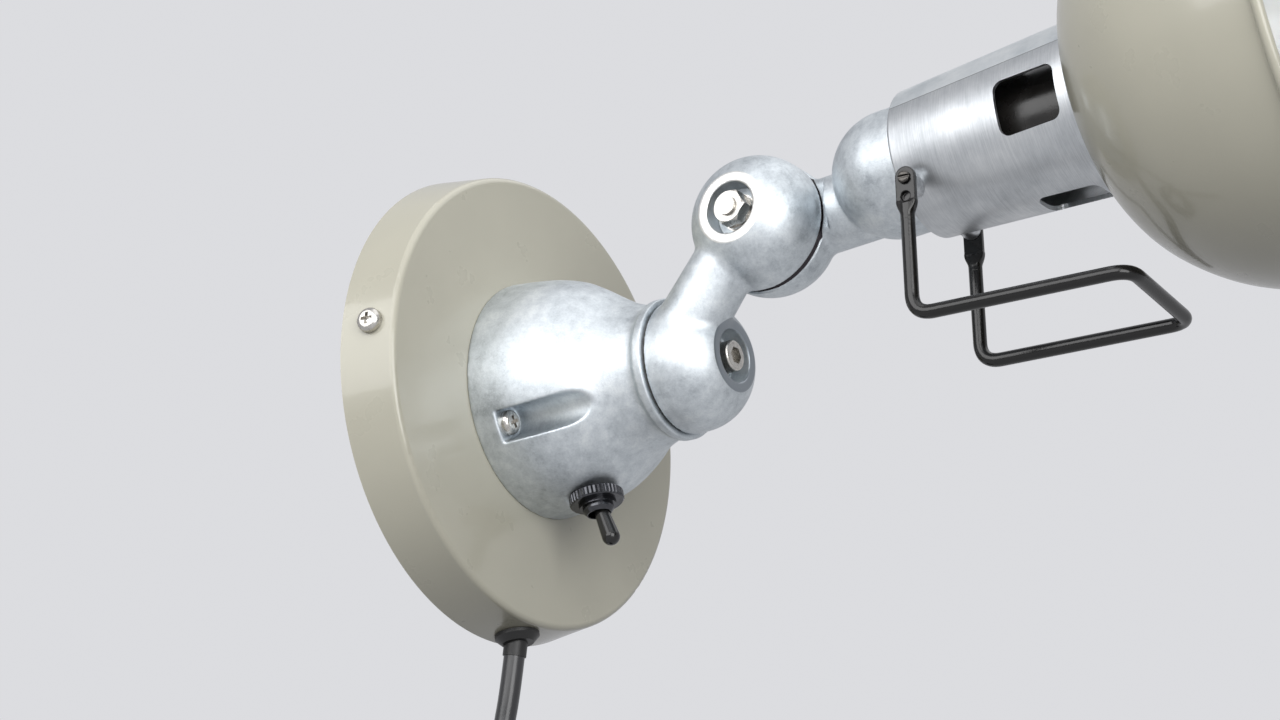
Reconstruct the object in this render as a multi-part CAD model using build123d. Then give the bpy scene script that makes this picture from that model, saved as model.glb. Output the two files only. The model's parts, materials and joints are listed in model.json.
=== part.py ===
"""Articulating wall lamp: enamelled wall cover, cast base, ball-jointed arm and head, bell shade.

Millimetres, +Z up. The origin is the middle of the wall face, the wall is the plane Y = 0 and
the lamp stands out from it along -Y.
"""
from math import atan, cos, degrees, hypot, pi, radians, sin, sqrt, tan
import os

from build123d import *

os.makedirs("parts", exist_ok=True)

# ---------------------------------------------------------------- driving dimensions
# named clearances
SEAT_GAP = 0.3            # between curved faces of neighbouring pieces
RUN_GAP = 0.08            # radial gap of a pin in its bore
SCREW_GAP = 0.25          # radial gap of a screw in its clearance hole
JOINT_RING = 0.55         # thickness of the friction ring in a joint's seam

# wall cover and back plate
COVER_FRONT_R = 75.0
COVER_BACK_R = 77.8
COVER_DEPTH = 19.3
COVER_WALL = 1.2
COVER_EDGE_R = 2.0
COVER_WALL_GAP = 0.5      # open edge of the cover stands this far off the wall
PLATE_R = 62.0
PLATE_T = 2.5
WALL_SLOT_R = 50.0        # pitch radius of the wall screw slots
WALL_SLOT_WIDTH = 5.0
WALL_SLOT_LENGTH = 11.0
WIRE_INLET_R = 11.0

# base casting
FOOT_R = 39.1
CASTING_WALL = 3.2
LIP_R = 22.8
LIP_Y = 74.3
LIP_T = 3.0
WEB_T = 5.0
POCKET_COUNT = 3
POCKET_WIDTH = 10.4
POCKET_START = 27.5       # distance of the ledge from the wall
POCKET_TIP = 57.0
POCKET_R = 33.0           # distance of the screw from the lamp's middle line
POCKET_FLOOR_R = 26.3      # deepest line of the round-bottomed channel
POCKET_ANGLE = 60.0       # first pocket, turned from straight down toward -X
POCKET_WALL = 2.4

# fasteners
M4_R = 2.0
M4_HEAD_R = 4.0
M4_HEAD_H = 2.8
M6_R = 3.0
M6_HEAD_R = 5.0
M6_HEAD_H = 6.0
M6_NUT_ACROSS = 10.0
M6_NUT_H = 5.0
M6_WASHER_R = 6.0
M6_WASHER_T = 1.2
HEX_KEY_ACROSS = 5.0
POST_R = 4.5
RIM_SCREW_ANGLE = 5.5     # above the horizontal
RIM_SCREW_Y = 11.0

# joint halves
HALF_R = 21.3
HALF_STRAIGHT = 4.0
HALF_LENGTH = 20.2
RING_R = 11.3
RECESS_R = 8.4
HALF_WALL = 3.2
HUB_R = 6.4
JOINT_FLOOR_T = 4.0
BALL_Y = 107.2            # ball joint's middle from the wall
BALL_Z = 40.2
NECK_R = 10.0
NECK_X = -8.0
NECK_BORE_R = 4.0

# head
HEAD_TILT = 3.56          # degrees above the horizontal
HEAD_RISE = 2.8           # head's middle line above the ball's middle
STUB_R = 12.0
STUB_X = 9.0
STUB_BORE_R = 5.0
BARREL_START = 28.5       # tip of the dome from the ball's middle
BARREL_END = 76.0
BARREL_WALL = 3.0
SLEEVE_START = 58.5
SLEEVE_END = 122.0
HANDLE_HALF = 24.6        # middle of a handle leg from the head's middle plane
EYE_T = 2.4               # flat eye at the end of a leg
SLEEVE_R = HANDLE_HALF - EYE_T / 2    # outside, at its rear edge: the eyes stand in line with it
SLEEVE_FLANGE = 3.4       # outside of the sleeve's rear edge above the barrel
BARREL_R = SLEEVE_R - SLEEVE_FLANGE
SLEEVE_FLARE = 3.35       # degrees
SLEEVE_WALL = 1.4
SLEEVE_REAR_T = 2.4
WINDOW_START = 95.5
WINDOW_LENGTH = 20.0
WINDOW_WIDTH = 17.0
WINDOW_COUNT = 4
WINDOW_CORNER = 3.0
WINDOW_TURN = 8.0

# shade and lamp holder
SHADE_R = 75.0
SHADE_LENGTH = 72.0
SHADE_WALL = 1.0
SHADE_BEAD_R = 1.6
HOLDER_R = 17.0
HOLDER_START = 84.0
HOLDER_LENGTH = 44.0
CAP_R = 13.2
BULB_R = 27.0
BULB_LENGTH = 69.0

# handle
WIRE_R = 2.15
HANDLE_S = 62.4           # legs along the head from the ball's middle
HANDLE_DROP = 55.0        # rods below the ball's middle
HANDLE_TURN = 5.2         # the whole handle sits skewed by this about the head's upright axis
HANDLE_NOD = 2.9
HANDLE_BEND = 6.5
HANDLE_REACH = 66.0
EYE_TOP = -8.5
EYE_LENGTH = 13.0
EYE_WIDTH = 7.6
EYE_HOLE_R = 1.6
EYE_SCREW_Z = -12.2
EYE_OPEN_Z = -18.0
HANDLE_SCREW_R = 1.5
HANDLE_SCREW_HEAD_R = 2.9

# switch
SWITCH_Y = 41.0
SWITCH_TILT = 12.0        # its axis leans out from straight down
SWITCH_SEAT = 35.4        # distance of the nut's seat from the lamp's middle line
KNURL_R = 8.8
KNURL_H = 3.4
KNURL_COUNT = 40
BUSHING_R = 6.0
LEVER_R = 2.9
LEVER_NECK_R = 2.1
LEVER_LENGTH = 17.0
LEVER_THROW = 11.0        # either side of the switch's axis

# mains cord
CORD_R = 3.4
CORD_Y = 9.7
GROMMET_R = 7.2
TAIL_R = 5.0
CORD_WALL_Y = 4.0
COIL_TOP_X = 0.0
COIL_Z = -166.0
COIL_IN_R = 27.0
COIL_PITCH = 8.6
LAYER_PITCH = 8.6
TAIL_RUN = 34.0
PLUG_LENGTH = 36.0
PLUG_WIDTH = 26.0
PLUG_T = 14.0
PIN_R = 2.0
PIN_LENGTH = 19.0
PIN_SPACING = 18.6

# smaller sizes that go with the groups above
BIG = 400.0               # half spaces and through cuts
COVER_OPENING_R = 27.0
BRACKET_LAP = 5.0         # of a bracket's foot on the plate
BRACKET_GAP = 0.5         # between a bracket and the rim
BRACKET_WIDTH = 12.0
BRACKET_HEIGHT = 13.0
BRACKET_T = 1.5
BRACKET_REACH = 8.0
PAN_ROUND = 0.6
CROSS_SHARE = 0.28
RIM_SCREW_LIFT = 0.15
RIM_SCREW_LENGTH = 6.0
CASTING_SCREW_LENGTH = 18.0
BELL_CURVE = [
    (39.1, 19.3), (38.3, 27.0), (37.1, 35.0), (34.7, 43.0),
    (30.4, 51.0), (25.0, 59.0), (22.0, 67.0), (21.8, 70.2),
]
WIRE_SLOT_R = 13.0
WIRE_SLOT_RUN = 6.0
WIRE_SLOT_WIDTH = 5.0
JOINT_FLOOR = 13.2        # seat of the washer, from the seam
FRICTION_OUT_R = 20.6
FRICTION_IN_R = 17.6
HEAD_ROUND = 0.8
NUT_CHAMFER = 0.8
SPRING_R = 5.6
SPRING_T = 1.8
SPRING_SPLIT = 1.0
BOLT_SPARE = 1.0
NECK_FOOT_Y = 78.0
NECK_FOOT_Z = 3.0
NECK_FOOT_R = 11.0
NECK_BORE_START = 12.0
STUB_RISE = 1.2
STUB_CLEAR = 23.0
HANDLE_SCREW_REACH = 12.0
HANDLE_HEAD_H = 1.8
SLOT_WIDTH = 0.8
SPACER_R = 3.0
SPACER_REACH = 9.0
SLEEVE_EDGE_R = 0.8
SHADE_SEAT_R = 32.0
SHADE_HOLE_GAP = 0.5      # around the clamp ring's tube
BELL_SHARES = [(0.20, 0.035), (0.48, 0.16), (0.74, 0.38), (0.91, 0.68), (1.0, 1.0)]
RING_DEPTH = 5.0
RING_WALL = 1.4
HOLDER_PLATE_T = 1.6
NIPPLE_R = 5.0
NIPPLE_BORE_R = 3.4
NIPPLE_TAIL = 7.0
NIPPLE_NUT_ACROSS = 14.0
NIPPLE_NUT_T = 3.0
HOLDER_NECK_R = 8.0
HOLDER_BACK_T = 5.0
HOLDER_FLOOR = 12.0
SHELL_T = 0.6
SHELL_LENGTH = 22.0
CONTACT_R = 3.0
CONTACT_RISE = 2.0
CONTACT_GAP = 1.5
TIP_R = 3.5
TIP_H = 1.6
CAP_SLOPE = 4.0
CAP_TAPER_SHARE = 0.7
CAP_LENGTH = 25.0
CAP_OVERLAP = 3.0
GLASS_WALL = 0.8
BULB_TURNS = [-38, -12, 12, 36, 60, 80, 89]
SWITCH_BODY_W = 12.0
SWITCH_BODY_L = 15.0
SWITCH_BODY_H = 12.0
SWITCH_BODY_GAP = 2.6
SWITCH_BODY_ROUND = 1.0
TAG_LENGTH = 4.0
TAG_WIDTH = 2.4
TAG_T = 0.8
TAG_PITCH = 4.6
BUSHING_STEP = 2.4
COLLAR_R = 5.0
COLLAR_STEP = 1.2
LEVER_PIVOT = 2.0
PIVOT_R = 2.6
MOUTH_R = 3.7
KNURL_EDGE = 0.5
KNURL_DEPTH = 0.5
GROMMET_GROOVE_R = 5.6
GROMMET_BACK = 1.6
GROMMET_SEAT = 0.1
GROMMET_LIP = 1.2
GROMMET_ROUND = 2.0
GROMMET_CORE_R = 5.4
GROMMET_OUT = 3.2
GROMMET_SLEEVE = 4.0
GROMMET_TAIL = 15.0
SLEEVE_TAIL_R = 3.8
SLEEVE_LEAN = 8.0         # degrees, towards the wall
BLOCK_WIDTH = 22.0
BLOCK_T = 13.0
BLOCK_TOP_Z = -20.0
BLOCK_LOW_Z = -40.0
BLOCK_PITCH = 5.5
BLOCK_HOLE_R = 1.8
BLOCK_SCREW_R = 2.0
BLOCK_SCREW_DEEP = 5.0
BLOCK_SCREW_SINK = 0.5
CLAMP_Z = -50.0
CLAMP_T = 12.5
CLAMP_WIDTH = 26.0
CLAMP_LENGTH = 8.0
CLAMP_PITCH = 9.0
CLAMP_SCREW_R = 1.5
CLAMP_SCREW_HEAD_R = 2.8
CLAMP_SCREW_HEAD_H = 1.6
COIL_FIRST = 4
COIL_HALVES = (4, 3, 3, 3)
CORD_LEAVE = 14.0
CORD_LEAN = 10.5
TIE_WIDTH = 9.0
TIE_T = 1.0
RELIEF_TOP_R = 4.6
RELIEF_LOW_R = 6.0
RELIEF_LENGTH = 20.0
PLUG_SECTIONS = [(0.0, 0.55, 0.95), (0.35, 0.8, 0.98), (0.6, 0.9, 0.9), (1.0, 1.0, 1.0)]

# ---------------------------------------------------------------- frames and helpers
WALL_FRAME = Plane(origin=(0, 0, 0), x_dir=(1, 0, 0), z_dir=(0, -1, 0))
BALL = Vector(0, -BALL_Y, BALL_Z)
NEAR_FRAME = Plane(origin=BALL, x_dir=(0, -1, 0), z_dir=(-1, 0, 0))
FAR_FRAME = Plane(origin=BALL, x_dir=(0, -1, 0), z_dir=(1, 0, 0))
TILT = radians(HEAD_TILT)
HEAD_AXIS = Vector(0, -cos(TILT), sin(TILT))
HEAD_UP = Vector(0, sin(TILT), cos(TILT))
HEAD_ORIGIN = BALL + HEAD_UP * HEAD_RISE
HEAD_FRAME = Plane(origin=HEAD_ORIGIN, x_dir=(1, 0, 0), z_dir=HEAD_AXIS)


def place(frame, shape):
    """Carry a shape from a frame's own coordinates into the lamp's."""
    return frame.location * shape


def save(shape, name):
    """Write one node and note its volume."""
    shape.label = name
    export_step(shape, f"parts/{name}.step")
    print(f"{name}: {shape.volume:.0f} mm3, {len(shape.solids())} solid(s)")


def turned(*points):
    """Solid of revolution about local Z through straight (radius, height) steps."""
    outline = Polyline(*[(r, 0, h) for r, h in points], close=True)
    return revolve(make_face(outline), Axis.Z)


def ring(outer, inner, start, end):
    """Plain tube about local Z."""
    return turned((inner, start), (outer, start), (outer, end), (inner, end))


def rod(radius, start, end):
    """Round bar about local Z."""
    return turned((0, start), (radius, start), (radius, end), (0, end))


def hex_bar(across, start, end):
    """Hexagon about local Z, measured across its flats."""
    face = RegularPolygon(across / 2, 6, major_radius=False)
    return Pos(0, 0, start) * extrude(face, end - start)


def around(count, first, shape):
    """Copies of a shape spaced evenly about local Z, the first turned by an angle."""
    return [Rot(0, 0, first + 360 / count * i) * shape for i in range(count)]


def group(shapes):
    """Separate solids that belong to one node."""
    return Compound([solid for shape in shapes for solid in shape.solids()])


# ---------------------------------------------------------------- shared places
# In the wall frame local X is the lamp's X, local Y its Z, and local Z the distance from the wall.
POCKET_TURN = -90 - POCKET_ANGLE
RIM_LEAN = (COVER_BACK_R - COVER_FRONT_R) / (COVER_DEPTH - COVER_WALL_GAP)
LEAN_ANGLE = degrees(atan(RIM_LEAN))
COVER_INSIDE = COVER_DEPTH - COVER_WALL
SEAM_Y = LIP_Y + JOINT_RING
HALF_SEAM = JOINT_RING / 2


def rim_r(distance):
    """Outside radius of the cover's drafted rim at a distance from the wall."""
    return COVER_FRONT_R + RIM_LEAN * (COVER_DEPTH - distance)


def rim_place(side):
    """Place on the rim's outside, Z along its outward normal: side 1 is +X, side -1 is -X."""
    turn = RIM_SCREW_ANGLE if side > 0 else 180 - RIM_SCREW_ANGLE
    return Rot(0, 0, turn) * Pos(rim_r(RIM_SCREW_Y), 0, RIM_SCREW_Y) * Rot(0, 90 - LEAN_ANGLE, 0)


def pockets(shape):
    """One copy of a shape, made on local X, at every screw pocket."""
    return around(POCKET_COUNT, POCKET_TURN, shape)


SWITCH_LEAN = radians(SWITCH_TILT)
SWITCH_FRAME = Plane(
    origin=(0, -SWITCH_Y, -SWITCH_SEAT), x_dir=(1, 0, 0), z_dir=(0, -sin(SWITCH_LEAN), -cos(SWITCH_LEAN))
)
NOD = radians(HANDLE_NOD)
SKEW = radians(HANDLE_TURN)
NEAR_SIDE = Vector(-1, 0, 0)
HANDLE_LEVEL = HEAD_AXIS * cos(NOD) - HEAD_UP * sin(NOD)
HANDLE_AXIS = HANDLE_LEVEL * cos(SKEW) - NEAR_SIDE * sin(SKEW)
HANDLE_SIDE = HANDLE_LEVEL * sin(SKEW) + NEAR_SIDE * cos(SKEW)
HANDLE_FRAME = Plane(origin=BALL + HEAD_AXIS * HANDLE_S, x_dir=HANDLE_SIDE * -1, z_dir=HANDLE_AXIS)


# ---------------------------------------------------------------- wall cover and plate
def make_cover():
    """Pressed dish: drafted rim, rounded front edge, holes for casting, screws and grommet."""
    body = turned(
        (0, COVER_WALL_GAP), (COVER_BACK_R, COVER_WALL_GAP),
        (COVER_FRONT_R, COVER_DEPTH), (0, COVER_DEPTH),
    )
    body = fillet(body.edges().filter_by(GeomType.CIRCLE).group_by(Axis.Z)[-1], COVER_EDGE_R)
    hollow = turned(
        (0, 0), (rim_r(0) - COVER_WALL, 0),
        (rim_r(COVER_INSIDE) - COVER_WALL, COVER_INSIDE), (0, COVER_INSIDE),
    )
    hollow = fillet(
        hollow.edges().filter_by(GeomType.CIRCLE).group_by(Axis.Z)[-1], COVER_EDGE_R - COVER_WALL / 2
    )
    body -= hollow
    body -= rod(COVER_OPENING_R, 0, COVER_DEPTH + 1)
    for hole in pockets(Pos(POCKET_R, 0, 0) * rod(M4_R + SCREW_GAP, 0, COVER_DEPTH + 1)):
        body -= hole
    for side in (1, -1):
        body -= rim_place(side) * rod(M4_R + SCREW_GAP, -BRACKET_REACH, BRACKET_REACH)
    body -= GROMMET_PLACE * rod(GROMMET_GROOVE_R + RUN_GAP, -COVER_WALL * 4, COVER_WALL * 4)
    return place(WALL_FRAME, body)


def make_back_plate():
    """Steel plate on the wall with its wire inlet and two level slots."""
    plate = rod(PLATE_R, 0, PLATE_T) - rod(WIRE_INLET_R, -PLATE_T, 2 * PLATE_T)
    slot = Pos(0, 0, -PLATE_T) * extrude(SlotOverall(WALL_SLOT_LENGTH, WALL_SLOT_WIDTH), 3 * PLATE_T)
    for side in (1, -1):
        plate -= Pos(side * WALL_SLOT_R, 0, 0) * slot
    return place(WALL_FRAME, plate)


def make_posts():
    """Threaded posts between the plate and the cover's inside, one under each casting screw."""
    post = ring(POST_R, M4_R + RUN_GAP, PLATE_T, COVER_INSIDE)
    return place(WALL_FRAME, group(pockets(Pos(POCKET_R, 0, 0) * post)))


def bracket_r(distance):
    """Outside of a bracket's upright, parallel to the rim, at a distance from the wall."""
    return rim_r(distance) - (COVER_WALL + BRACKET_GAP) / cos(radians(LEAN_ANGLE))


def make_brackets():
    """Angle brackets that carry the rim screws just inside the cover."""
    top = PLATE_T + BRACKET_HEIGHT
    bend = PLATE_T + BRACKET_T
    brackets = []
    for side in (1, -1):
        turn = RIM_SCREW_ANGLE if side > 0 else 180 - RIM_SCREW_ANGLE
        angle = Plane.XZ * Polygon(
            (PLATE_R - BRACKET_LAP, PLATE_T), (bracket_r(PLATE_T), PLATE_T), (bracket_r(top), top),
            (bracket_r(top) - BRACKET_T, top), (bracket_r(bend) - BRACKET_T, bend),
            (PLATE_R - BRACKET_LAP, bend),
            align=None,
        )
        bracket = Rot(0, 0, turn) * extrude(angle, BRACKET_WIDTH / 2, both=True)
        bracket -= rim_place(side) * rod(M4_R + RUN_GAP, -BRACKET_REACH, 0)
        brackets.append(bracket)
    return place(WALL_FRAME, group(brackets))


def cross_head(radius, height):
    """Pan head with a cross recess, its underside at 0."""
    head = fillet(rod(radius, 0, height).edges().group_by(Axis.Z)[-1], height * PAN_ROUND)
    for turn in (0, 90):
        head -= Pos(0, 0, height) * Rot(0, 0, turn) * Box(radius, radius * CROSS_SHARE, height)
    return head


def make_cover_screws():
    """The two screws in the rim."""
    screw = Pos(0, 0, RIM_SCREW_LIFT) * (cross_head(M4_HEAD_R, M4_HEAD_H) + rod(M4_R, -RIM_SCREW_LENGTH, 0))
    return place(WALL_FRAME, group([rim_place(side) * screw for side in (1, -1)]))


# ---------------------------------------------------------------- base casting
def make_base_casting():
    """Bell casting: flared lip at the joint, closed web, three screw pockets and a switch seat."""
    with BuildPart() as bell:
        with BuildSketch(Plane.XZ):
            with BuildLine():
                curve = Spline(*BELL_CURVE)
                Line(curve @ 1, (LIP_R, LIP_Y - LIP_T))
                Line((LIP_R, LIP_Y - LIP_T), (LIP_R, LIP_Y))
                Line((LIP_R, LIP_Y), (0, LIP_Y))
                Line((0, LIP_Y), (0, COVER_DEPTH))
                Line((0, COVER_DEPTH), curve @ 0)
            make_face()
        revolve(axis=Axis.Z)
    with BuildPart() as core:
        with BuildSketch(Plane.XZ):
            with BuildLine():
                inner = Spline(*[(r - CASTING_WALL, h) for r, h in BELL_CURVE])
                Line(inner @ 1, (0, (inner @ 1).Y))
                Line((0, (inner @ 1).Y), (0, COVER_DEPTH))
                Line((0, COVER_DEPTH), inner @ 0)
            make_face()
        revolve(axis=Axis.Z)
    middle_r = POCKET_FLOOR_R + POCKET_WIDTH / 2
    channel = Pos(middle_r, 0) * Circle(POCKET_WIDTH / 2)
    channel += Pos(middle_r + FOOT_R / 2, 0) * Rectangle(FOOT_R, POCKET_WIDTH)
    cut = Pos(0, 0, POCKET_START) * extrude(channel, POCKET_TIP - POCKET_START)
    block_width = POCKET_WIDTH + 2 * POCKET_WALL
    block_length = POCKET_TIP + POCKET_WALL - COVER_DEPTH
    block = Pos((POCKET_FLOOR_R - POCKET_WALL + FOOT_R) / 2, 0, COVER_DEPTH + block_length / 2) * Box(
        FOOT_R - POCKET_FLOOR_R + POCKET_WALL, block_width, block_length
    )
    hollow = core.part
    for copy in pockets(block):
        hollow -= copy
    body = bell.part - hollow
    for copy in pockets(cut):
        body -= copy
    for copy in pockets(Pos(POCKET_R, 0, 0) * rod(M4_R + SCREW_GAP, 0, POCKET_START + 1)):
        body -= copy
    body -= rod(M6_R + SCREW_GAP, LIP_Y - 2 * WEB_T, LIP_Y + 1)
    wire_slot = extrude(SlotCenterToCenter(WIRE_SLOT_RUN, WIRE_SLOT_WIDTH), 3 * WEB_T)
    wire_slot = Pos(WIRE_SLOT_R, 0, LIP_Y - 2 * WEB_T) * wire_slot
    body -= Rot(0, 0, 90) * wire_slot
    body = place(WALL_FRAME, body)
    body -= place(SWITCH_FRAME, rod(KNURL_R + SEAT_GAP, 0, FOOT_R))
    body -= place(SWITCH_FRAME, rod(BUSHING_R + SCREW_GAP, -2 * CASTING_WALL, 1))
    return body


def make_casting_screws():
    """Screws on the pocket ledges, down into the posts."""
    screw = Pos(POCKET_R, 0, POCKET_START) * (
        cross_head(M4_HEAD_R, M4_HEAD_H) + rod(M4_R, -CASTING_SCREW_LENGTH, 0)
    )
    return place(WALL_FRAME, group(pockets(screw)))


# ---------------------------------------------------------------- joints
def joint_half():
    """One half of a ball joint from its seam at 0: rounded shell, hub and screw recess."""
    with BuildPart() as blank:
        with BuildSketch(Plane.XZ):
            with BuildLine():
                Line((0, 0), (HALF_R, 0))
                Line((HALF_R, 0), (HALF_R, HALF_STRAIGHT))
                TangentArc((HALF_R, HALF_STRAIGHT), (RING_R, HALF_LENGTH), tangent=(0, 1))
                Line((RING_R, HALF_LENGTH), (0, HALF_LENGTH))
                Line((0, HALF_LENGTH), (0, 0))
            make_face()
        revolve(axis=Axis.Z)
    return blank.part


def joint_hollow():
    """Wire space round the hub, open at the seam."""
    return ring(HALF_R - HALF_WALL, HUB_R, -1, JOINT_FLOOR - JOINT_FLOOR_T)


def joint_bores():
    """Recess in the nose and the pivot's bore through the hub."""
    return rod(RECESS_R, JOINT_FLOOR, HALF_LENGTH + 1) + rod(M6_R + RUN_GAP, -1, HALF_LENGTH)


def friction_ring():
    """Thin ring in a seam, a little smaller than the castings."""
    return ring(FRICTION_OUT_R, FRICTION_IN_R, 0, JOINT_RING - RUN_GAP)


def hex_bolt_head(start):
    """Cylinder head with a hexagon socket."""
    head = rod(M6_HEAD_R, start, start + M6_HEAD_H)
    head = fillet(head.edges().group_by(Axis.Z)[-1], HEAD_ROUND)
    return head - hex_bar(HEX_KEY_ACROSS, start + M6_HEAD_H / 2, start + M6_HEAD_H + 1)


def nut(start):
    """Hexagon nut with its corners turned back."""
    body = hex_bar(M6_NUT_ACROSS, start, start + M6_NUT_H)
    corner = M6_NUT_ACROSS / sqrt(3)
    blank = chamfer(rod(corner, start, start + M6_NUT_H).edges().filter_by(GeomType.CIRCLE), NUT_CHAMFER)
    return (body & blank) - rod(M6_R + RUN_GAP, start - 1, start + M6_NUT_H + 1)


LOWER_FRAME = Plane(origin=(0, -SEAM_Y, 0), x_dir=(1, 0, 0), z_dir=(0, -1, 0))


def make_arm_casting():
    """Lower joint half, neck and near ball half in one casting."""
    near = Pos(0, 0, HALF_SEAM)
    body = place(LOWER_FRAME, joint_half()) + place(NEAR_FRAME, near * joint_half())
    foot = Vector(NECK_X, -NECK_FOOT_Y, NECK_FOOT_Z)
    top = Vector(NECK_X, -BALL_Y, BALL_Z)
    along = (top - foot).normalized()
    neck_frame = Plane(origin=foot, x_dir=(1, 0, 0), z_dir=along)
    run = (top - foot).length
    neck = place(neck_frame, Solid.make_cone(NECK_FOOT_R, NECK_R, run))
    neck -= Pos(0, BIG / 2 - SEAM_Y, 0) * Box(BIG, BIG, BIG)
    neck -= Pos(BIG / 2 - HALF_SEAM, 0, 0) * Box(BIG, BIG, BIG)
    body += neck
    body -= place(LOWER_FRAME, joint_hollow())
    body -= place(NEAR_FRAME, near * joint_hollow())
    body -= place(LOWER_FRAME, joint_bores())
    body -= place(NEAR_FRAME, near * joint_bores())
    body -= place(neck_frame, rod(NECK_BORE_R, NECK_BORE_START, run - NECK_BORE_START))
    return body


def make_base_bolt():
    """Pivot bolt of the lower joint, from the arm's recess through the base's web."""
    head_start = JOINT_FLOOR + RUN_GAP + M6_WASHER_T
    shaft_end = -(JOINT_RING + WEB_T + M6_WASHER_T + SPRING_T + M6_NUT_H + BOLT_SPARE)
    return place(LOWER_FRAME, hex_bolt_head(head_start) + rod(M6_R, shaft_end, head_start))


def washer(start, thickness=0.0):
    """Flat washer for a pivot bolt."""
    return ring(M6_WASHER_R, M6_R + RUN_GAP, start, start + (thickness or M6_WASHER_T))


def spring_washer(start):
    """Split ring between washer and nut."""
    body = ring(SPRING_R, M6_R + RUN_GAP, start, start + SPRING_T)
    return body - Pos(SPRING_R, 0, start + SPRING_T / 2) * Box(2 * SPRING_R, SPRING_SPLIT, 2 * SPRING_T)


def make_ball_bolt():
    """Pivot bolt of the ball joint, its head in the far half and its end past the near nut."""
    head_start = HALF_SEAM + JOINT_FLOOR + RUN_GAP + M6_WASHER_T
    end = HALF_SEAM + JOINT_FLOOR + M6_WASHER_T + SPRING_T + M6_NUT_H + BOLT_SPARE
    return place(FAR_FRAME, hex_bolt_head(head_start) + rod(M6_R, -end, head_start))


# ---------------------------------------------------------------- head
def sleeve_r(s):
    """Outside radius of the flared sleeve at a distance along the head."""
    return SLEEVE_R + tan(radians(SLEEVE_FLARE)) * (s - SLEEVE_START)


def make_head_casting():
    """Far ball half, stub and domed barrel in one casting, open at the front."""
    far = Pos(0, 0, HALF_SEAM)
    ball = place(FAR_FRAME, far * joint_half())
    dome_centre = BARREL_START + BARREL_R
    dome = Pos(0, 0, dome_centre) * Sphere(BARREL_R)
    barrel = rod(BARREL_R, dome_centre, BARREL_END)
    stub = Pos(STUB_X, STUB_RISE - HEAD_RISE, 0) * rod(STUB_R, 0, dome_centre)
    stub -= Pos(HALF_SEAM - BIG / 2, 0, STUB_CLEAR - BIG / 2) * Box(BIG, BIG, BIG)
    body = place(HEAD_FRAME, dome + barrel + stub) + ball
    inside_r = BARREL_R - BARREL_WALL
    inside = Pos(0, 0, dome_centre) * Sphere(inside_r) + rod(inside_r, dome_centre, BARREL_END + 1)
    body -= place(HEAD_FRAME, inside)
    body -= place(HEAD_FRAME, Pos(STUB_X, STUB_RISE - HEAD_RISE, 0) * rod(STUB_BORE_R, HUB_R, dome_centre))
    body -= place(FAR_FRAME, far * joint_hollow())
    body -= place(FAR_FRAME, far * joint_bores())
    for hole in handle_screw_rods(HANDLE_SCREW_R + RUN_GAP):
        body -= hole
    return body


def eye_axis(side, out):
    """Axis of a handle screw, starting out from the middle of its eye."""
    return Plane(origin=(side * (HANDLE_HALF + out), EYE_SCREW_Z, 0), x_dir=(0, 1, 0), z_dir=(side, 0, 0))


def handle_screw_rods(radius):
    """A rod on each handle screw's axis, from outside the eye into the barrel."""
    rods = []
    for side in (-1, 1):
        rods.append(place(HANDLE_FRAME, place(eye_axis(side, 0), rod(radius, -HANDLE_SCREW_REACH, EYE_T))))
    return rods


def sleeve_cone(offset, start, end):
    """Flared solid parallel to the sleeve's outside."""
    return turned(
        (0, start), (sleeve_r(start) + offset, start), (sleeve_r(end) + offset, end), (0, end)
    )


def make_sleeve():
    """Flared tube with a rear flange on the barrel and a ring of vent windows."""
    body = sleeve_cone(0, SLEEVE_START, SLEEVE_END)
    body = fillet(body.edges().filter_by(GeomType.CIRCLE).group_by(Axis.Z)[0], SLEEVE_EDGE_R)
    body -= sleeve_cone(-SLEEVE_WALL, SLEEVE_START + SLEEVE_REAR_T, SLEEVE_END + 1)
    body -= rod(BARREL_R + RUN_GAP, 0, SLEEVE_END)
    window = extrude(
        Plane.YZ * Pos(0, WINDOW_START + WINDOW_LENGTH / 2)
        * RectangleRounded(WINDOW_WIDTH, WINDOW_LENGTH, WINDOW_CORNER), BIG
    )
    for copy in around(WINDOW_COUNT, WINDOW_TURN, window):
        body -= copy
    body = place(HEAD_FRAME, body)
    for hole in handle_screw_rods(HANDLE_SCREW_R + SCREW_GAP):
        body -= hole
    return body


def shell(points, wall):
    """Thin solid of revolution whose outside follows a spline through (radius, height) points."""
    normals = []
    for i in range(len(points)):
        a = points[max(i - 1, 0)]
        b = points[min(i + 1, len(points) - 1)]
        run = hypot(b[0] - a[0], b[1] - a[1])
        normals.append(((b[1] - a[1]) / run, -(b[0] - a[0]) / run))
    inner = [(p[0] - n[0] * wall, p[1] - n[1] * wall) for p, n in zip(points, normals)]
    with BuildPart() as body:
        with BuildSketch(Plane.XZ):
            with BuildLine():
                outer_line = Spline(*points)
                inner_line = Spline(*inner)
                Line(outer_line @ 0, inner_line @ 0)
                Line(outer_line @ 1, inner_line @ 1)
            make_face()
        revolve(axis=Axis.Z)
    return body.part


def clamp_r():
    """Outside radius of the clamp ring's tube, inside the sleeve's mouth."""
    return sleeve_r(SLEEVE_END - RING_DEPTH) - SLEEVE_WALL - SEAT_GAP


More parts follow.
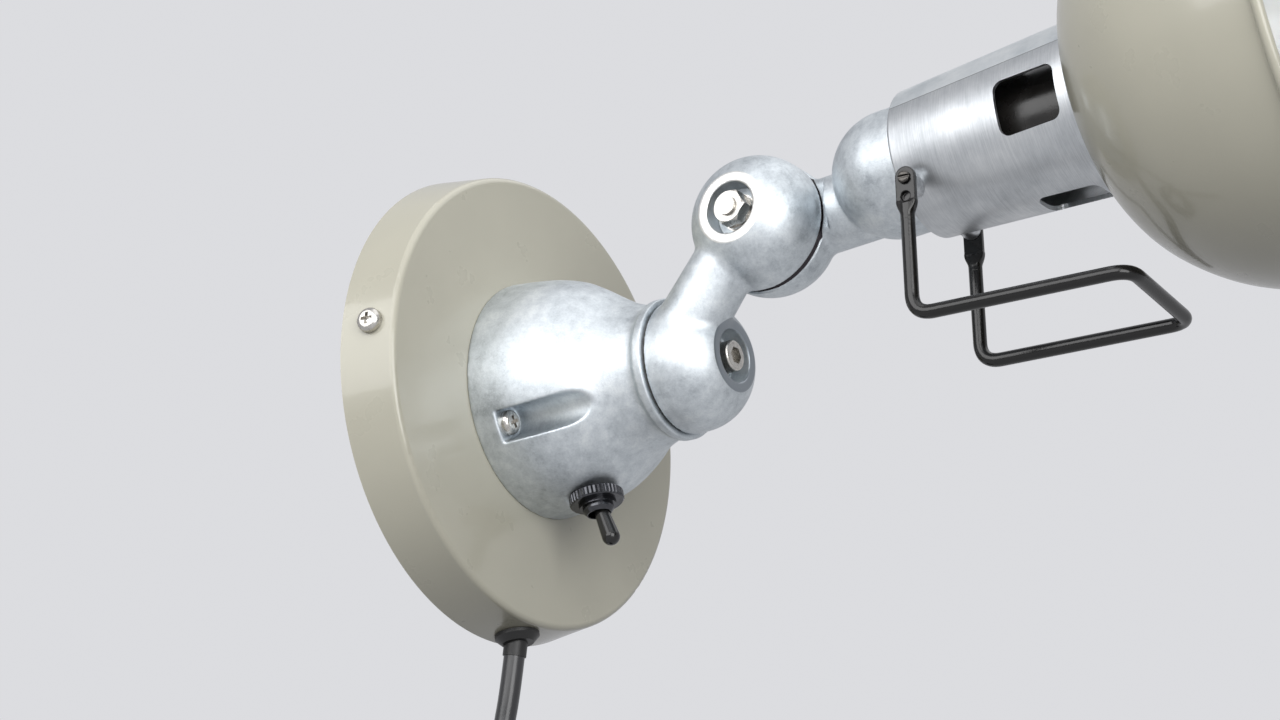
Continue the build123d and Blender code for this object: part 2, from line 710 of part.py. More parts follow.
def make_shade():
    """Bell reflector with a flat seat at its neck and a rolled bead at its rim."""
    front = SLEEVE_END + SHADE_LENGTH
    seat = ring(SHADE_SEAT_R, clamp_r() + SHADE_HOLE_GAP, SLEEVE_END, SLEEVE_END + SHADE_WALL)
    curve = [(SHADE_SEAT_R - SHADE_WALL, SLEEVE_END)]
    for across, along in BELL_SHARES:
        curve.append((SHADE_SEAT_R + (SHADE_R - SHADE_SEAT_R) * across, SLEEVE_END + SHADE_LENGTH * along))
    bell = shell([(r, h) for r, h in curve], -SHADE_WALL)
    bead = Pos(0, 0, front) * Torus(SHADE_R + SHADE_BEAD_R - SHADE_WALL, SHADE_BEAD_R)
    return place(HEAD_FRAME, seat + bell + bead)


def make_shade_ring():
    """Ring with a flange that clamps the shade's neck on the sleeve's front edge."""
    inner_r = clamp_r() - RING_WALL
    tube = ring(clamp_r(), inner_r, SLEEVE_END - RING_DEPTH, SLEEVE_END + SHADE_WALL)
    flange = ring(
        SHADE_SEAT_R - RING_WALL, inner_r,
        SLEEVE_END + SHADE_WALL, SLEEVE_END + SHADE_WALL + RING_WALL,
    )
    return place(HEAD_FRAME, tube + flange)


# ---------------------------------------------------------------- lamp holder and bulb
def make_holder_plate():
    """Steel disc across the barrel's mouth that carries the nipple."""
    plate = ring(BARREL_R, NIPPLE_R + RUN_GAP, BARREL_END, BARREL_END + HOLDER_PLATE_T)
    return place(HEAD_FRAME, plate)


def make_nipple():
    """Threaded tube through the plate into the holder's back, with its lock nut."""
    tube = ring(NIPPLE_R, NIPPLE_BORE_R, BARREL_END - NIPPLE_TAIL, HOLDER_START + HOLDER_BACK_T)
    collar = hex_bar(NIPPLE_NUT_ACROSS, BARREL_END - NIPPLE_NUT_T, BARREL_END)
    return place(HEAD_FRAME, tube + (collar - rod(NIPPLE_BORE_R, 0, BARREL_END + 1)))


def make_holder():
    """Insulating lamp holder: cup with a stepped outside."""
    end = HOLDER_START + HOLDER_LENGTH
    body = turned(
        (NIPPLE_R + RUN_GAP, BARREL_END + HOLDER_PLATE_T), (HOLDER_NECK_R, BARREL_END + HOLDER_PLATE_T),
        (HOLDER_NECK_R, HOLDER_START), (HOLDER_R, HOLDER_START + HOLDER_BACK_T), (HOLDER_R, end),
        (CAP_R + SHELL_T + 2 * RUN_GAP, end),
        (CAP_R + SHELL_T + 2 * RUN_GAP, HOLDER_START + HOLDER_FLOOR),
        (NIPPLE_R + RUN_GAP, HOLDER_START + HOLDER_FLOOR),
    )
    return place(HEAD_FRAME, body)


def make_holder_shell():
    """Brass screw shell inside the holder."""
    start = HOLDER_START + HOLDER_FLOOR
    wall = ring(CAP_R + SHELL_T + RUN_GAP, CAP_R + RUN_GAP, start, start + SHELL_LENGTH)
    floor = ring(CAP_R + SHELL_T, CONTACT_R + CONTACT_GAP, start, start + SHELL_T)
    return place(HEAD_FRAME, wall + floor)


def make_holder_contact():
    """Centre contact on the nipple's mouth under the bulb's tip."""
    start = HOLDER_START + HOLDER_BACK_T
    return place(HEAD_FRAME, rod(CONTACT_R, start, HOLDER_START + HOLDER_FLOOR + CONTACT_RISE))


BULB_START = HOLDER_START + HOLDER_FLOOR + CONTACT_RISE + TIP_H


def make_bulb_cap():
    """Metal screw cap, a plain shell with a rounded bottom."""
    body = turned(
        (TIP_R, BULB_START), (CAP_R * CAP_TAPER_SHARE, BULB_START), (CAP_R, BULB_START + CAP_SLOPE),
        (CAP_R, BULB_START + CAP_LENGTH), (CAP_R - SHELL_T, BULB_START + CAP_LENGTH),
        (CAP_R - SHELL_T, BULB_START + CAP_SLOPE + SHELL_T), (TIP_R, BULB_START + SHELL_T * 2),
    )
    return place(HEAD_FRAME, body)


def make_bulb_tip():
    """Contact button at the bottom of the cap."""
    return place(HEAD_FRAME, rod(TIP_R, BULB_START - TIP_H, BULB_START + 2 * SHELL_T))


def make_bulb_glass():
    """Hollow glass envelope, widest near its front, standing in the cap."""
    start = BULB_START + CAP_LENGTH - CAP_OVERLAP
    neck_r = CAP_R - SHELL_T - RUN_GAP
    front = start + BULB_LENGTH
    middle = front - BULB_R
    curve = [(neck_r, start), (neck_r, start + CAP_OVERLAP + GLASS_WALL)]
    for turn in BULB_TURNS:
        curve.append((BULB_R * cos(radians(turn)), middle + BULB_R * sin(radians(turn))))
    return place(HEAD_FRAME, shell(curve, GLASS_WALL))


# ---------------------------------------------------------------- handle
def make_handle():
    """One bent wire: two legs with flattened, pierced ends, two rods and a front crossbar."""
    low = -HANDLE_DROP
    route = [
        (-HANDLE_HALF, EYE_TOP - EYE_LENGTH + 1, 0), (-HANDLE_HALF, low, 0),
        (-HANDLE_HALF, low, HANDLE_REACH), (HANDLE_HALF, low, HANDLE_REACH),
        (HANDLE_HALF, low, 0), (HANDLE_HALF, EYE_TOP - EYE_LENGTH + 1, 0),
    ]
    with BuildPart() as wire:
        with BuildLine() as path:
            FilletPolyline(*route, radius=HANDLE_BEND)
        with BuildSketch(Plane(origin=path.line @ 0, z_dir=path.line % 0)):
            Circle(WIRE_R)
        sweep()
    body = wire.part
    for side in (-1, 1):
        body += Pos(side * HANDLE_HALF, EYE_TOP - EYE_LENGTH / 2, 0) * Rot(0, 90, 0) * extrude(
            Rot(0, 0, 90) * SlotOverall(EYE_LENGTH, EYE_WIDTH), EYE_T / 2, both=True
        )
    for side in (-1, 1):
        for height, radius in ((EYE_SCREW_Z, HANDLE_SCREW_R + SCREW_GAP), (EYE_OPEN_Z, EYE_HOLE_R)):
            body -= Pos(side * HANDLE_HALF, height, 0) * Rot(0, 90, 0) * Cylinder(radius, 3 * EYE_T)
    return place(HANDLE_FRAME, body)


def make_handle_screws():
    """Slotted pan heads outside the handle's ends."""
    screws = []
    for side in (-1, 1):
        head = fillet(
            rod(HANDLE_SCREW_HEAD_R, 0, HANDLE_HEAD_H).edges().group_by(Axis.Z)[-1], HANDLE_HEAD_H * PAN_ROUND
        )
        head -= Pos(0, 0, HANDLE_HEAD_H) * Box(SLOT_WIDTH, 3 * HANDLE_SCREW_HEAD_R, HANDLE_HEAD_H)
        screw = head + rod(HANDLE_SCREW_R, EYE_T / 2 - HANDLE_SCREW_REACH, 0)
        screws.append(place(HANDLE_FRAME, place(eye_axis(side, EYE_T / 2), screw)))
    return group(screws)


def make_handle_spacers():
    """Short collars on the screws, shaped to the sleeve, that stand the handle's ends off."""
    keep_out = place(HEAD_FRAME, sleeve_cone(RUN_GAP, SLEEVE_START - SPACER_REACH, SLEEVE_END))
    spacers = []
    for side in (-1, 1):
        collar = ring(SPACER_R, HANDLE_SCREW_R + SCREW_GAP, -SPACER_REACH, 0)
        collar = place(HANDLE_FRAME, place(eye_axis(side, -EYE_T / 2), collar)) - keep_out
        spacers.append(collar.solids().sort_by(SortBy.VOLUME)[-1])
    return group(spacers)


# ---------------------------------------------------------------- switch
def make_switch_body():
    """Closed housing of the toggle switch behind the casting's wall."""
    body = Pos(0, 0, -CASTING_WALL - SWITCH_BODY_GAP - SWITCH_BODY_H / 2) * Box(
        SWITCH_BODY_W, SWITCH_BODY_L, SWITCH_BODY_H
    )
    return place(SWITCH_FRAME, fillet(body.edges().filter_by(Axis.Z), SWITCH_BODY_ROUND))


def make_switch_terminals():
    """Solder tags on the back of the switch."""
    back = -CASTING_WALL - SWITCH_BODY_GAP - SWITCH_BODY_H
    tag = Pos(0, 0, back - TAG_LENGTH / 2) * Box(TAG_WIDTH, TAG_T, TAG_LENGTH)
    tags = [Pos(0, y, 0) * tag for y in (-TAG_PITCH, 0, TAG_PITCH)]
    return place(SWITCH_FRAME, group(tags))


def make_bushing():
    """Threaded neck of the switch with its stepped collar and conical mouth."""
    top = KNURL_H + BUSHING_STEP
    body = turned(
        (0, -CASTING_WALL - SWITCH_BODY_GAP), (BUSHING_R, -CASTING_WALL - SWITCH_BODY_GAP),
        (BUSHING_R, KNURL_H),
        (BUSHING_R, KNURL_H + BUSHING_STEP / 2), (COLLAR_R, KNURL_H + BUSHING_STEP / 2),
        (COLLAR_R, top), (COLLAR_R - 1, top + COLLAR_STEP), (0, top + COLLAR_STEP),
    )
    mouth = turned(
        (0, LEVER_PIVOT - PIVOT_R - RUN_GAP), (PIVOT_R + RUN_GAP, LEVER_PIVOT - PIVOT_R - RUN_GAP),
        (PIVOT_R + RUN_GAP, LEVER_PIVOT), (MOUTH_R, top + COLLAR_STEP + 0.01), (0, top + COLLAR_STEP + 0.01),
    )
    return place(SWITCH_FRAME, body - mouth)


def make_knurled_nut():
    """Ring nut with straight knurls round its rim."""
    body = chamfer(
        ring(KNURL_R, BUSHING_R + RUN_GAP, 0, KNURL_H).edges()
        .filter_by(GeomType.CIRCLE).sort_by(SortBy.RADIUS)[-2:],
        KNURL_EDGE,
    )
    groove = Pos(KNURL_R, 0, 0) * Rot(0, 0, 45) * Box(KNURL_DEPTH, KNURL_DEPTH, 3 * KNURL_H)
    for copy in around(KNURL_COUNT, 0, groove):
        body -= copy
    return place(SWITCH_FRAME, body)


def make_lever():
    """Bat lever: pivot ball, thin neck, swelling round tip, standing at one end of its throw."""
    with BuildPart() as bat:
        with BuildSketch(Plane.XZ):
            with BuildLine():
                Polyline(
                    (0, 0), (LEVER_NECK_R, 0), (LEVER_R, LEVER_LENGTH - LEVER_R), close=False,
                )
                RadiusArc((LEVER_R, LEVER_LENGTH - LEVER_R), (0, LEVER_LENGTH), -LEVER_R)
                Line((0, LEVER_LENGTH), (0, 0))
            make_face()
        revolve(axis=Axis.Z)
    lever = Sphere(PIVOT_R) + bat.part
    return place(SWITCH_FRAME, Pos(0, 0, LEVER_PIVOT) * Rot(-LEVER_THROW, 0, 0) * lever)


# ---------------------------------------------------------------- mains connection
RIM_FOOT = Pos(0, -rim_r(CORD_Y), CORD_Y)
GROMMET_PLACE = RIM_FOOT * Rot(90 - LEAN_ANGLE, 0, 0)
SLEEVE_PLACE = RIM_FOOT * Rot(90 + SLEEVE_LEAN, 0, 0)
CORD_OUT = Vector(0, sin(radians(SLEEVE_LEAN)), -cos(radians(SLEEVE_LEAN)))
CORD_EXIT = Vector(0, -CORD_Y, -rim_r(CORD_Y)) + CORD_OUT * (GROMMET_OUT + GROMMET_SLEEVE)
GROMMET_TOP_Z = -(rim_r(CORD_Y) - GROMMET_TAIL)


def make_grommet():
    """Rubber grommet: collar square to the leaning rim, upright sleeve and tapered inner tail."""
    collar = turned(
        (0, -GROMMET_BACK - GROMMET_LIP), (GROMMET_R, -GROMMET_BACK - GROMMET_LIP),
        (GROMMET_R, -GROMMET_BACK),
        (GROMMET_GROOVE_R, -GROMMET_BACK), (GROMMET_GROOVE_R, GROMMET_SEAT), (GROMMET_R, GROMMET_SEAT),
        (GROMMET_R, GROMMET_OUT - GROMMET_ROUND), (GROMMET_R - GROMMET_ROUND, GROMMET_OUT), (0, GROMMET_OUT),
    )
    core = turned(
        (0, -GROMMET_TAIL), (TAIL_R, -GROMMET_TAIL), (GROMMET_CORE_R, -GROMMET_BACK), (0, -GROMMET_BACK),
    )
    sleeve = rod(SLEEVE_TAIL_R, 0, GROMMET_OUT + GROMMET_SLEEVE)
    return place(WALL_FRAME, GROMMET_PLACE * collar + RIM_FOOT * Rot(90, 0, 0) * core + SLEEVE_PLACE * sleeve)


BLOCK_MIDDLE = (BLOCK_TOP_Z + BLOCK_LOW_Z) / 2
BLOCK_FACE = PLATE_T + BLOCK_T


def make_terminal_block():
    """Two-way connector block with its wire holes and screw holes."""
    body = Pos(0, BLOCK_MIDDLE, PLATE_T + BLOCK_T / 2) * Box(BLOCK_WIDTH, BLOCK_TOP_Z - BLOCK_LOW_Z, BLOCK_T)
    for x in (-BLOCK_PITCH, BLOCK_PITCH):
        body -= Pos(x, BLOCK_MIDDLE, CORD_Y) * Rot(90, 0, 0) * Cylinder(BLOCK_HOLE_R, BIG)
        hole = rod(BLOCK_SCREW_R + RUN_GAP, BLOCK_FACE - BLOCK_SCREW_DEEP, BLOCK_FACE + 1)
        body -= Pos(x, BLOCK_MIDDLE, 0) * hole
    return place(WALL_FRAME, body)


def make_block_screws():
    """Clamping screws in the connector block."""
    screw = rod(BLOCK_SCREW_R, BLOCK_FACE - BLOCK_SCREW_DEEP, BLOCK_FACE - BLOCK_SCREW_SINK)
    screw -= Pos(0, 0, BLOCK_FACE - BLOCK_SCREW_SINK) * Box(4 * BLOCK_SCREW_R, SLOT_WIDTH, SLOT_WIDTH * 2)
    return place(WALL_FRAME, group([Pos(x, BLOCK_MIDDLE, 0) * screw for x in (-BLOCK_PITCH, BLOCK_PITCH)]))


def make_inner_cord():
    """Straight piece of flex from the grommet up to the connector block."""
    start = Plane(origin=(0, -CORD_Y, GROMMET_TOP_Z), z_dir=(0, 0, 1))
    return place(start, rod(CORD_R, 0, BLOCK_LOW_Z - GROMMET_TOP_Z))


def make_cord_clamp():
    """Saddle over the inner flex, standing on the plate."""
    body = Pos(0, -(PLATE_T + CLAMP_T / 2), CLAMP_Z) * Box(CLAMP_WIDTH, CLAMP_T, CLAMP_LENGTH)
    body = fillet(body.edges().filter_by(Axis.Z).group_by(Axis.Y)[0], 2.0)
    body -= Pos(0, -CORD_Y, CLAMP_Z) * Cylinder(CORD_R + RUN_GAP, BIG)
    for x in (-CLAMP_PITCH, CLAMP_PITCH):
        body -= Pos(x, -PLATE_T, CLAMP_Z) * Rot(90, 0, 0) * Cylinder(CLAMP_SCREW_R + RUN_GAP, BIG)
    return body


def make_clamp_screws():
    """Two screws through the saddle into the plate's face."""
    screw = cross_head(CLAMP_SCREW_HEAD_R, CLAMP_SCREW_HEAD_H) + rod(CLAMP_SCREW_R, -CLAMP_T, 0)
    return place(
        WALL_FRAME,
        group([Pos(x, CLAMP_Z, PLATE_T + CLAMP_T) * screw for x in (-CLAMP_PITCH, CLAMP_PITCH)]),
    )


# ---------------------------------------------------------------- mains cord
def coil_route():
    """Half turns of the put-away coil: start, middle and end of each, spiralling in and out in layers."""
    radius = COIL_IN_R + COIL_FIRST * COIL_PITCH / 2
    y = -CORD_WALL_Y
    centre_x = COIL_TOP_X + radius
    plan = []
    inward = True
    for layer, halves in enumerate(COIL_HALVES):
        for _ in range(halves):
            plan.append((-1 if inward else 1, 0))
        if layer < len(COIL_HALVES) - 1:
            plan.append((0, 1))
        inward = not inward
    side = -1
    here = Vector(centre_x + side * radius, y, COIL_Z)
    arcs = []
    for grow, climb in plan:
        next_radius = radius + grow * COIL_PITCH / 2
        there = Vector(centre_x - side * next_radius, here.Y - climb * LAYER_PITCH, COIL_Z)
        reach = (there - here).length / 2
        turn = Vector(0, 0, side * reach)
        arcs.append((here, (here + there) * 0.5 + turn, there))
        side, radius, here = -side, next_radius, there
    return arcs


def coil_points(arcs, steps):
    """Points along the coil's middle line."""
    points = []
    for a, b, c in arcs:
        middle = (a + c) * 0.5
        out = a - middle
        down = b - middle
        for i in range(steps):
            t = pi * i / steps
            points.append(middle + out * cos(t) + down * sin(t))
    points.append(arcs[-1][2])
    return points


def make_coil():
    """One unbroken tube through every turn, straight for a short way at both ends."""
    arcs = coil_route()
    first, last = arcs[0][0], arcs[-1][2]
    lead = first + Vector(0, 0, 2 * CORD_R)
    tail = last - Vector(0, 0, TAIL_RUN)
    edges = [Edge.make_line(lead, first)]
    for a, b, c in arcs:
        edges.append(Edge.make_three_point_arc(a, b, c))
    edges.append(Edge.make_line(last, tail))
    path = Wire(edges)
    section = Plane(origin=lead, z_dir=(0, 0, -1)) * Circle(CORD_R)
    return sweep(section, path=path), path.length, tail


def check_coil_gap(arcs):
    """Least gap of the coil to itself, measured between points a good way apart along it."""
    steps = 36
    points = coil_points(arcs, steps)
    least = BIG
    for i in range(len(points)):
        for j in range(i + steps, len(points)):
            d = (points[i] - points[j]).length
            least = min(least, d)
    return least - 2 * CORD_R


def make_cord():
    """Free stretch from the grommet, leaning back to the wall and down to the coil."""
    start = CORD_EXIT
    leave = start + CORD_OUT * CORD_LEAVE
    at_wall = Vector(0, -CORD_WALL_Y, leave.Z - CORD_LEAN)
    end = Vector(COIL_TOP_X, -CORD_WALL_Y, COIL_Z + 2 * CORD_R)
    route = [start, leave, at_wall, end]
    radii = []
    for a, b, c in zip(route, route[1:], route[2:]):
        bend = (b - a).get_angle(c - b)
        radii.append(0.45 * min((b - a).length, (c - b).length) / tan(radians(bend) / 2))
    print("cord exit", start, "then", leave, at_wall, end)
    print("cord bend radii", [round(r, 1) for r in radii])
    path = FilletPolyline(*route, radius=radii)
    section = Plane(origin=start, z_dir=CORD_OUT) * Circle(CORD_R)
    return sweep(section, path=path), path.length


def make_tie():
    """Flat band round the coil's turns at its right side."""
    arcs = coil_route()
    points = coil_points(arcs, 24)
    near = [p for p in points if abs(p.Z - COIL_Z) < 2 * TIE_WIDTH and p.X > arcs[0][0].X + COIL_IN_R]
    x_low = min(p.X for p in near) - CORD_R - SEAT_GAP
    x_high = max(p.X for p in near) + CORD_R + SEAT_GAP
    y_low = min(p.Y for p in near) - CORD_R - SEAT_GAP
    y_high = max(p.Y for p in near) + CORD_R + SEAT_GAP
    centre = Pos((x_low + x_high) / 2, (y_low + y_high) / 2, COIL_Z)
    outer = centre * Box(x_high - x_low + 2 * TIE_T, y_high - y_low + 2 * TIE_T, TIE_WIDTH)
    outer = fillet(outer.edges().filter_by(Axis.Z), CORD_R)
    inner = centre * Box(x_high - x_low, y_high - y_low, 2 * TIE_WIDTH)
    inner = fillet(inner.edges().filter_by(Axis.Z), CORD_R - TIE_T)
    return outer - inner


def make_plug(top):
    """Flat two-pin plug: tapered relief, waisted body, hanging from the coil's tail."""
    hang = Plane(origin=top, x_dir=(0, 1, 0), z_dir=(0, 0, -1))
    relief = Solid.make_cone(RELIEF_TOP_R, RELIEF_LOW_R, RELIEF_LENGTH)
    sections = []
    for height, width, depth in PLUG_SECTIONS:
        sections.append(Pos(0, 0, RELIEF_LENGTH + height * PLUG_LENGTH) * RectangleRounded(
            width * PLUG_WIDTH, depth * PLUG_T, depth * PLUG_T * 0.42))
    return place(hang, relief + loft(sections, ruled=False))


def make_pins(top):
    """Round pins with domed ends, standing out of the plug's face."""
    hang = Plane(origin=top, x_dir=(0, 1, 0), z_dir=(0, 0, -1))
    start = RELIEF_LENGTH + PLUG_LENGTH
    pin = fillet(rod(PIN_R, start, start + PIN_LENGTH).edges().group_by(Axis.Z)[-1], PIN_R * 0.8)
    return place(hang, group([Pos(x, 0, 0) * pin for x in (-PIN_SPACING / 2, PIN_SPACING / 2)]))


# ---------------------------------------------------------------- write every node
def main():
    arcs = coil_route()
    coil, coil_length, tail_end = make_coil()
    cord, cord_length = make_cord()
    print(f"coil gap to itself {check_coil_gap(arcs):.2f} mm")
    together = cord_length + coil_length
    print(f"free cord {cord_length:.1f} mm, coil {coil_length:.1f} mm, together {together:.1f} mm")
    print(f"coil volume against length {coil.volume / (coil_length * pi * CORD_R ** 2):.4f}")
    print(f"cord volume against length {cord.volume / (cord_length * pi * CORD_R ** 2):.4f}")
    lower_nut = -(JOINT_RING + WEB_T + M6_WASHER_T + SPRING_T + M6_NUT_H)
    near_floor = HALF_SEAM + JOINT_FLOOR
    nodes = {
        "back_plate": make_back_plate(),
        "wall_cover": make_cover(),
        "spacer_posts": make_posts(),
        "cover_brackets": make_brackets(),
        "cover_screws": make_cover_screws(),
        "base_casting": make_base_casting(),
        "casting_screws": make_casting_screws(),
        "cord_grommet": make_grommet(),
        "terminal_block": make_terminal_block(),
        "terminal_screws": make_block_screws(),
        "inner_cord": make_inner_cord(),
        "cord_clamp": make_cord_clamp(),
        "clamp_screws": make_clamp_screws(),
        "switch_body": make_switch_body(),
        "switch_terminals": make_switch_terminals(),
        "switch_bushing": make_bushing(),
        "switch_knurled_nut": make_knurled_nut(),
        "switch_lever": make_lever(),
        "base_friction_ring": place(LOWER_FRAME, Pos(0, 0, -JOINT_RING) * friction_ring()),
        "base_pivot_bolt": make_base_bolt(),
        "base_head_washer": place(LOWER_FRAME, washer(JOINT_FLOOR + RUN_GAP)),
        "base_web_washer": place(LOWER_FRAME, washer(-(JOINT_RING + WEB_T + M6_WASHER_T))),
        "base_spring_washer": place(
            LOWER_FRAME, spring_washer(-(JOINT_RING + WEB_T + M6_WASHER_T + SPRING_T))
        ),
        "base_pivot_nut": place(LOWER_FRAME, nut(lower_nut)),
        "arm_casting": make_arm_casting(),
        "ball_friction_ring": place(NEAR_FRAME, Pos(0, 0, RUN_GAP - HALF_SEAM) * friction_ring()),
        "ball_pivot_bolt": make_ball_bolt(),
        "ball_head_washer": place(FAR_FRAME, washer(near_floor + RUN_GAP)),
        "ball_nut_washer": place(NEAR_FRAME, washer(near_floor)),
        "ball_spring_washer": place(NEAR_FRAME, spring_washer(near_floor + M6_WASHER_T)),
        "ball_pivot_nut": place(NEAR_FRAME, nut(near_floor + M6_WASHER_T + SPRING_T)),
        "head_casting": make_head_casting(),
        "lamp_sleeve": make_sleeve(),
        "shade": make_shade(),
        "shade_ring": make_shade_ring(),
        "holder_plate": make_holder_plate(),
        "holder_nipple": make_nipple(),
        "lamp_holder": make_holder(),
        "holder_shell": make_holder_shell(),
        "holder_contact": make_holder_contact(),
        "bulb_cap": make_bulb_cap(),
        "bulb_tip": make_bulb_tip(),
        "bulb_glass": make_bulb_glass(),
        "handle_wire": make_handle(),
        "handle_screws": make_handle_screws(),
        "handle_spacers": make_handle_spacers(),
        "mains_cord": cord,
        "cord_coil": coil,
        "coil_tie": make_tie(),
        "plug_body": make_plug(tail_end),
        "plug_pins": make_pins(tail_end),
    }
    for name, shape in nodes.items():
        save(shape, name)


main()
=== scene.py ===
"""Looks of the articulating wall lamp: camera, cord, castings, handle, shade, materials and light.

Blender works in metres. The sizes below are millimetres, as in the part's source, and MM turns them.
"""

import json
from math import atan, cos, pi, radians, sin

import bpy
import numpy as np
import openvdb
from mathutils import Matrix, Vector

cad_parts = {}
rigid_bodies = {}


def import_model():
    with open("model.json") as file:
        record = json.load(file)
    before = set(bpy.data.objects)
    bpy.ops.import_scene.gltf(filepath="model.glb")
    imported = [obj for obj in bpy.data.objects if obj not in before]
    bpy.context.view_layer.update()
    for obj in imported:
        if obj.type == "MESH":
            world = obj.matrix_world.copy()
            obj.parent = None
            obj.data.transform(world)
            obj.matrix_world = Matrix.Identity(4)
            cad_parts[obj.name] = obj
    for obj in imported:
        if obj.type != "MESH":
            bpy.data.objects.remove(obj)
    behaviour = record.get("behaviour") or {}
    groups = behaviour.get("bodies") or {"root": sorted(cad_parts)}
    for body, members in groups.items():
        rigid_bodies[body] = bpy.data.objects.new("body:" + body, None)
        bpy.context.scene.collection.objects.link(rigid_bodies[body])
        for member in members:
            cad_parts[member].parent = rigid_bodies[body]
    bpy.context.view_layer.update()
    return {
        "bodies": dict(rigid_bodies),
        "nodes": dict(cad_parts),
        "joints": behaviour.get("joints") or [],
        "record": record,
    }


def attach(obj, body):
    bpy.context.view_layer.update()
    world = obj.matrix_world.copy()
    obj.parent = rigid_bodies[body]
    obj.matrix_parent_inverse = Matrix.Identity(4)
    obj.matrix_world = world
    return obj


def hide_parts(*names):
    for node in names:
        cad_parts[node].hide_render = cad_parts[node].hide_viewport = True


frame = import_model()
NODES = frame["nodes"]
SCENE = bpy.context.scene
MM = 0.001

# ---------------------------------------------------------------- camera
LENS_PIXELS = 2754.5
PICTURE_WIDTH = 1280
SENSOR = 36.0
CAMERA_AT = Vector((-679.02, -536.95, -285.35)) * MM
AZIMUTH = radians(54.8409)
ELEVATION = radians(19.3361)
ROLL = radians(-0.4952)

look = Vector((sin(AZIMUTH) * cos(ELEVATION), cos(AZIMUTH) * cos(ELEVATION), sin(ELEVATION)))
level = Vector((cos(AZIMUTH), -sin(AZIMUTH), 0))
upright = level.cross(look)
right = level * cos(ROLL) + upright * sin(ROLL)
top = upright * cos(ROLL) - level * sin(ROLL)
camera_data = bpy.data.cameras.new("camera")
camera_data.sensor_width = SENSOR
camera_data.lens = SENSOR * LENS_PIXELS / PICTURE_WIDTH
camera_data.clip_end = 20
camera = bpy.data.objects.new("camera", camera_data)
camera.matrix_world = Matrix((
    (right.x, top.x, -look.x, CAMERA_AT.x),
    (right.y, top.y, -look.y, CAMERA_AT.y),
    (right.z, top.z, -look.z, CAMERA_AT.z),
    (0, 0, 0, 1),
))
SCENE.collection.objects.link(camera)
SCENE.camera = camera

# ---------------------------------------------------------------- sizes shared with the solids
LIP_Y = 74.3
JOINT_RING = 0.55
SEAM_Y = LIP_Y + JOINT_RING
HALF_SEAM = JOINT_RING / 2
FOOT_Y = 19.3
BELL = [
    (39.1, 19.3), (38.3, 27.0), (37.1, 35.0), (34.7, 43.0),
    (30.4, 51.0), (25.0, 59.0), (22.0, 67.0), (21.8, 70.2),
]
LIP_R = 22.8
LIP_T = 3.0
POCKET_COUNT = 3
POCKET_FIRST = -150.0
POCKET_WIDTH = 10.4
POCKET_START = 27.5
POCKET_TIP = 57.0
POCKET_FLOOR_R = 26.3
POCKET_SCREW_R = 33.0
HALF_R = 21.3
HALF_STRAIGHT = 4.0
HALF_LENGTH = 20.2
RING_R = 11.3
RECESS_R = 8.4
JOINT_FLOOR = 13.2
BOLT_R = 3.08
SHOULDER_DEPTH = 0.9
SHOULDER_WIDTH = 1.5
BALL = Vector((0, -107.2, 40.2))
NECK_X = -8.0
NECK_FOOT = Vector((NECK_X, -78.0, 3.0))
NECK_TOP = Vector((NECK_X, -107.2, 40.2))
NECK_FOOT_R = 11.0
NECK_R = 10.0
TILT = radians(3.56)
HEAD_AXIS = Vector((0, -cos(TILT), sin(TILT)))
HEAD_UP = Vector((0, sin(TILT), cos(TILT)))
HEAD_RISE = 2.8
HEAD_AT = BALL + HEAD_UP * HEAD_RISE
DOME_START = 28.5
DOME_R = 20.0
BARREL_END = 76.0
STUB_R = 12.0
STUB_X = 9.0
STUB_RISE = 1.2
STUB_CLEAR = 23.0
SWITCH_AT = Vector((0, -41.0, -35.4))
SWITCH_LEAN = radians(12)
SWITCH_AXIS = Vector((0, -sin(SWITCH_LEAN), -cos(SWITCH_LEAN)))
KNURL_SEAT_R = 9.1
SLEEVE_END = 122.0
# Turn from the top of the sleeve towards +X of the side that carries the painted reflection band.
PAINTED_BAND_TURN = radians(27)

# ---------------------------------------------------------------- cord
CORD_R = 3.4
CORD_EXIT = Vector((0, -8.698, -83.560))
CORD_LEAVE = Vector((0, -6.750, -97.424))
CORD_AT_WALL = Vector((0, -4.0, -107.923))
CORD_DOWN = Vector((0, -4.0, -159.2))
COIL_Z = -166.0
COIL_IN_R = 27.0
COIL_PITCH = 8.6
LAYER_PITCH = 8.6
COIL_FIRST = 4
COIL_HALVES = (4, 3, 3, 3)
TAIL_RUN = 34.0
STEPS = 8


def coil_points():
    """Control points of the put-away turns, in layers that spiral in and out."""
    radius = COIL_IN_R + COIL_FIRST * COIL_PITCH / 2
    centre = radius
    here = Vector((0, CORD_DOWN.y, COIL_Z))
    side, inward, points = -1, True, []
    plan = []
    for layer, halves in enumerate(COIL_HALVES):
        plan += [(-1 if inward else 1, 0)] * halves
        if layer < len(COIL_HALVES) - 1:
            plan.append((0, 1))
        inward = not inward
    step = pi / STEPS
    for grow, climb in plan:
        after = radius + grow * COIL_PITCH / 2
        there = Vector((centre - side * after, here.y - climb * LAYER_PITCH, COIL_Z))
        middle = (here + there) / 2
        out = here - middle
        down = Vector((0, 0, side * (there - here).length / 2))
        for i in range(STEPS):
            turn = step * (i + 0.5)
            points.append(middle + (out * cos(turn) + down * sin(turn)) / cos(step / 2))
        side, radius, here = -side, after, there
    points.append(here - Vector((0, 0, TAIL_RUN)))
    return points


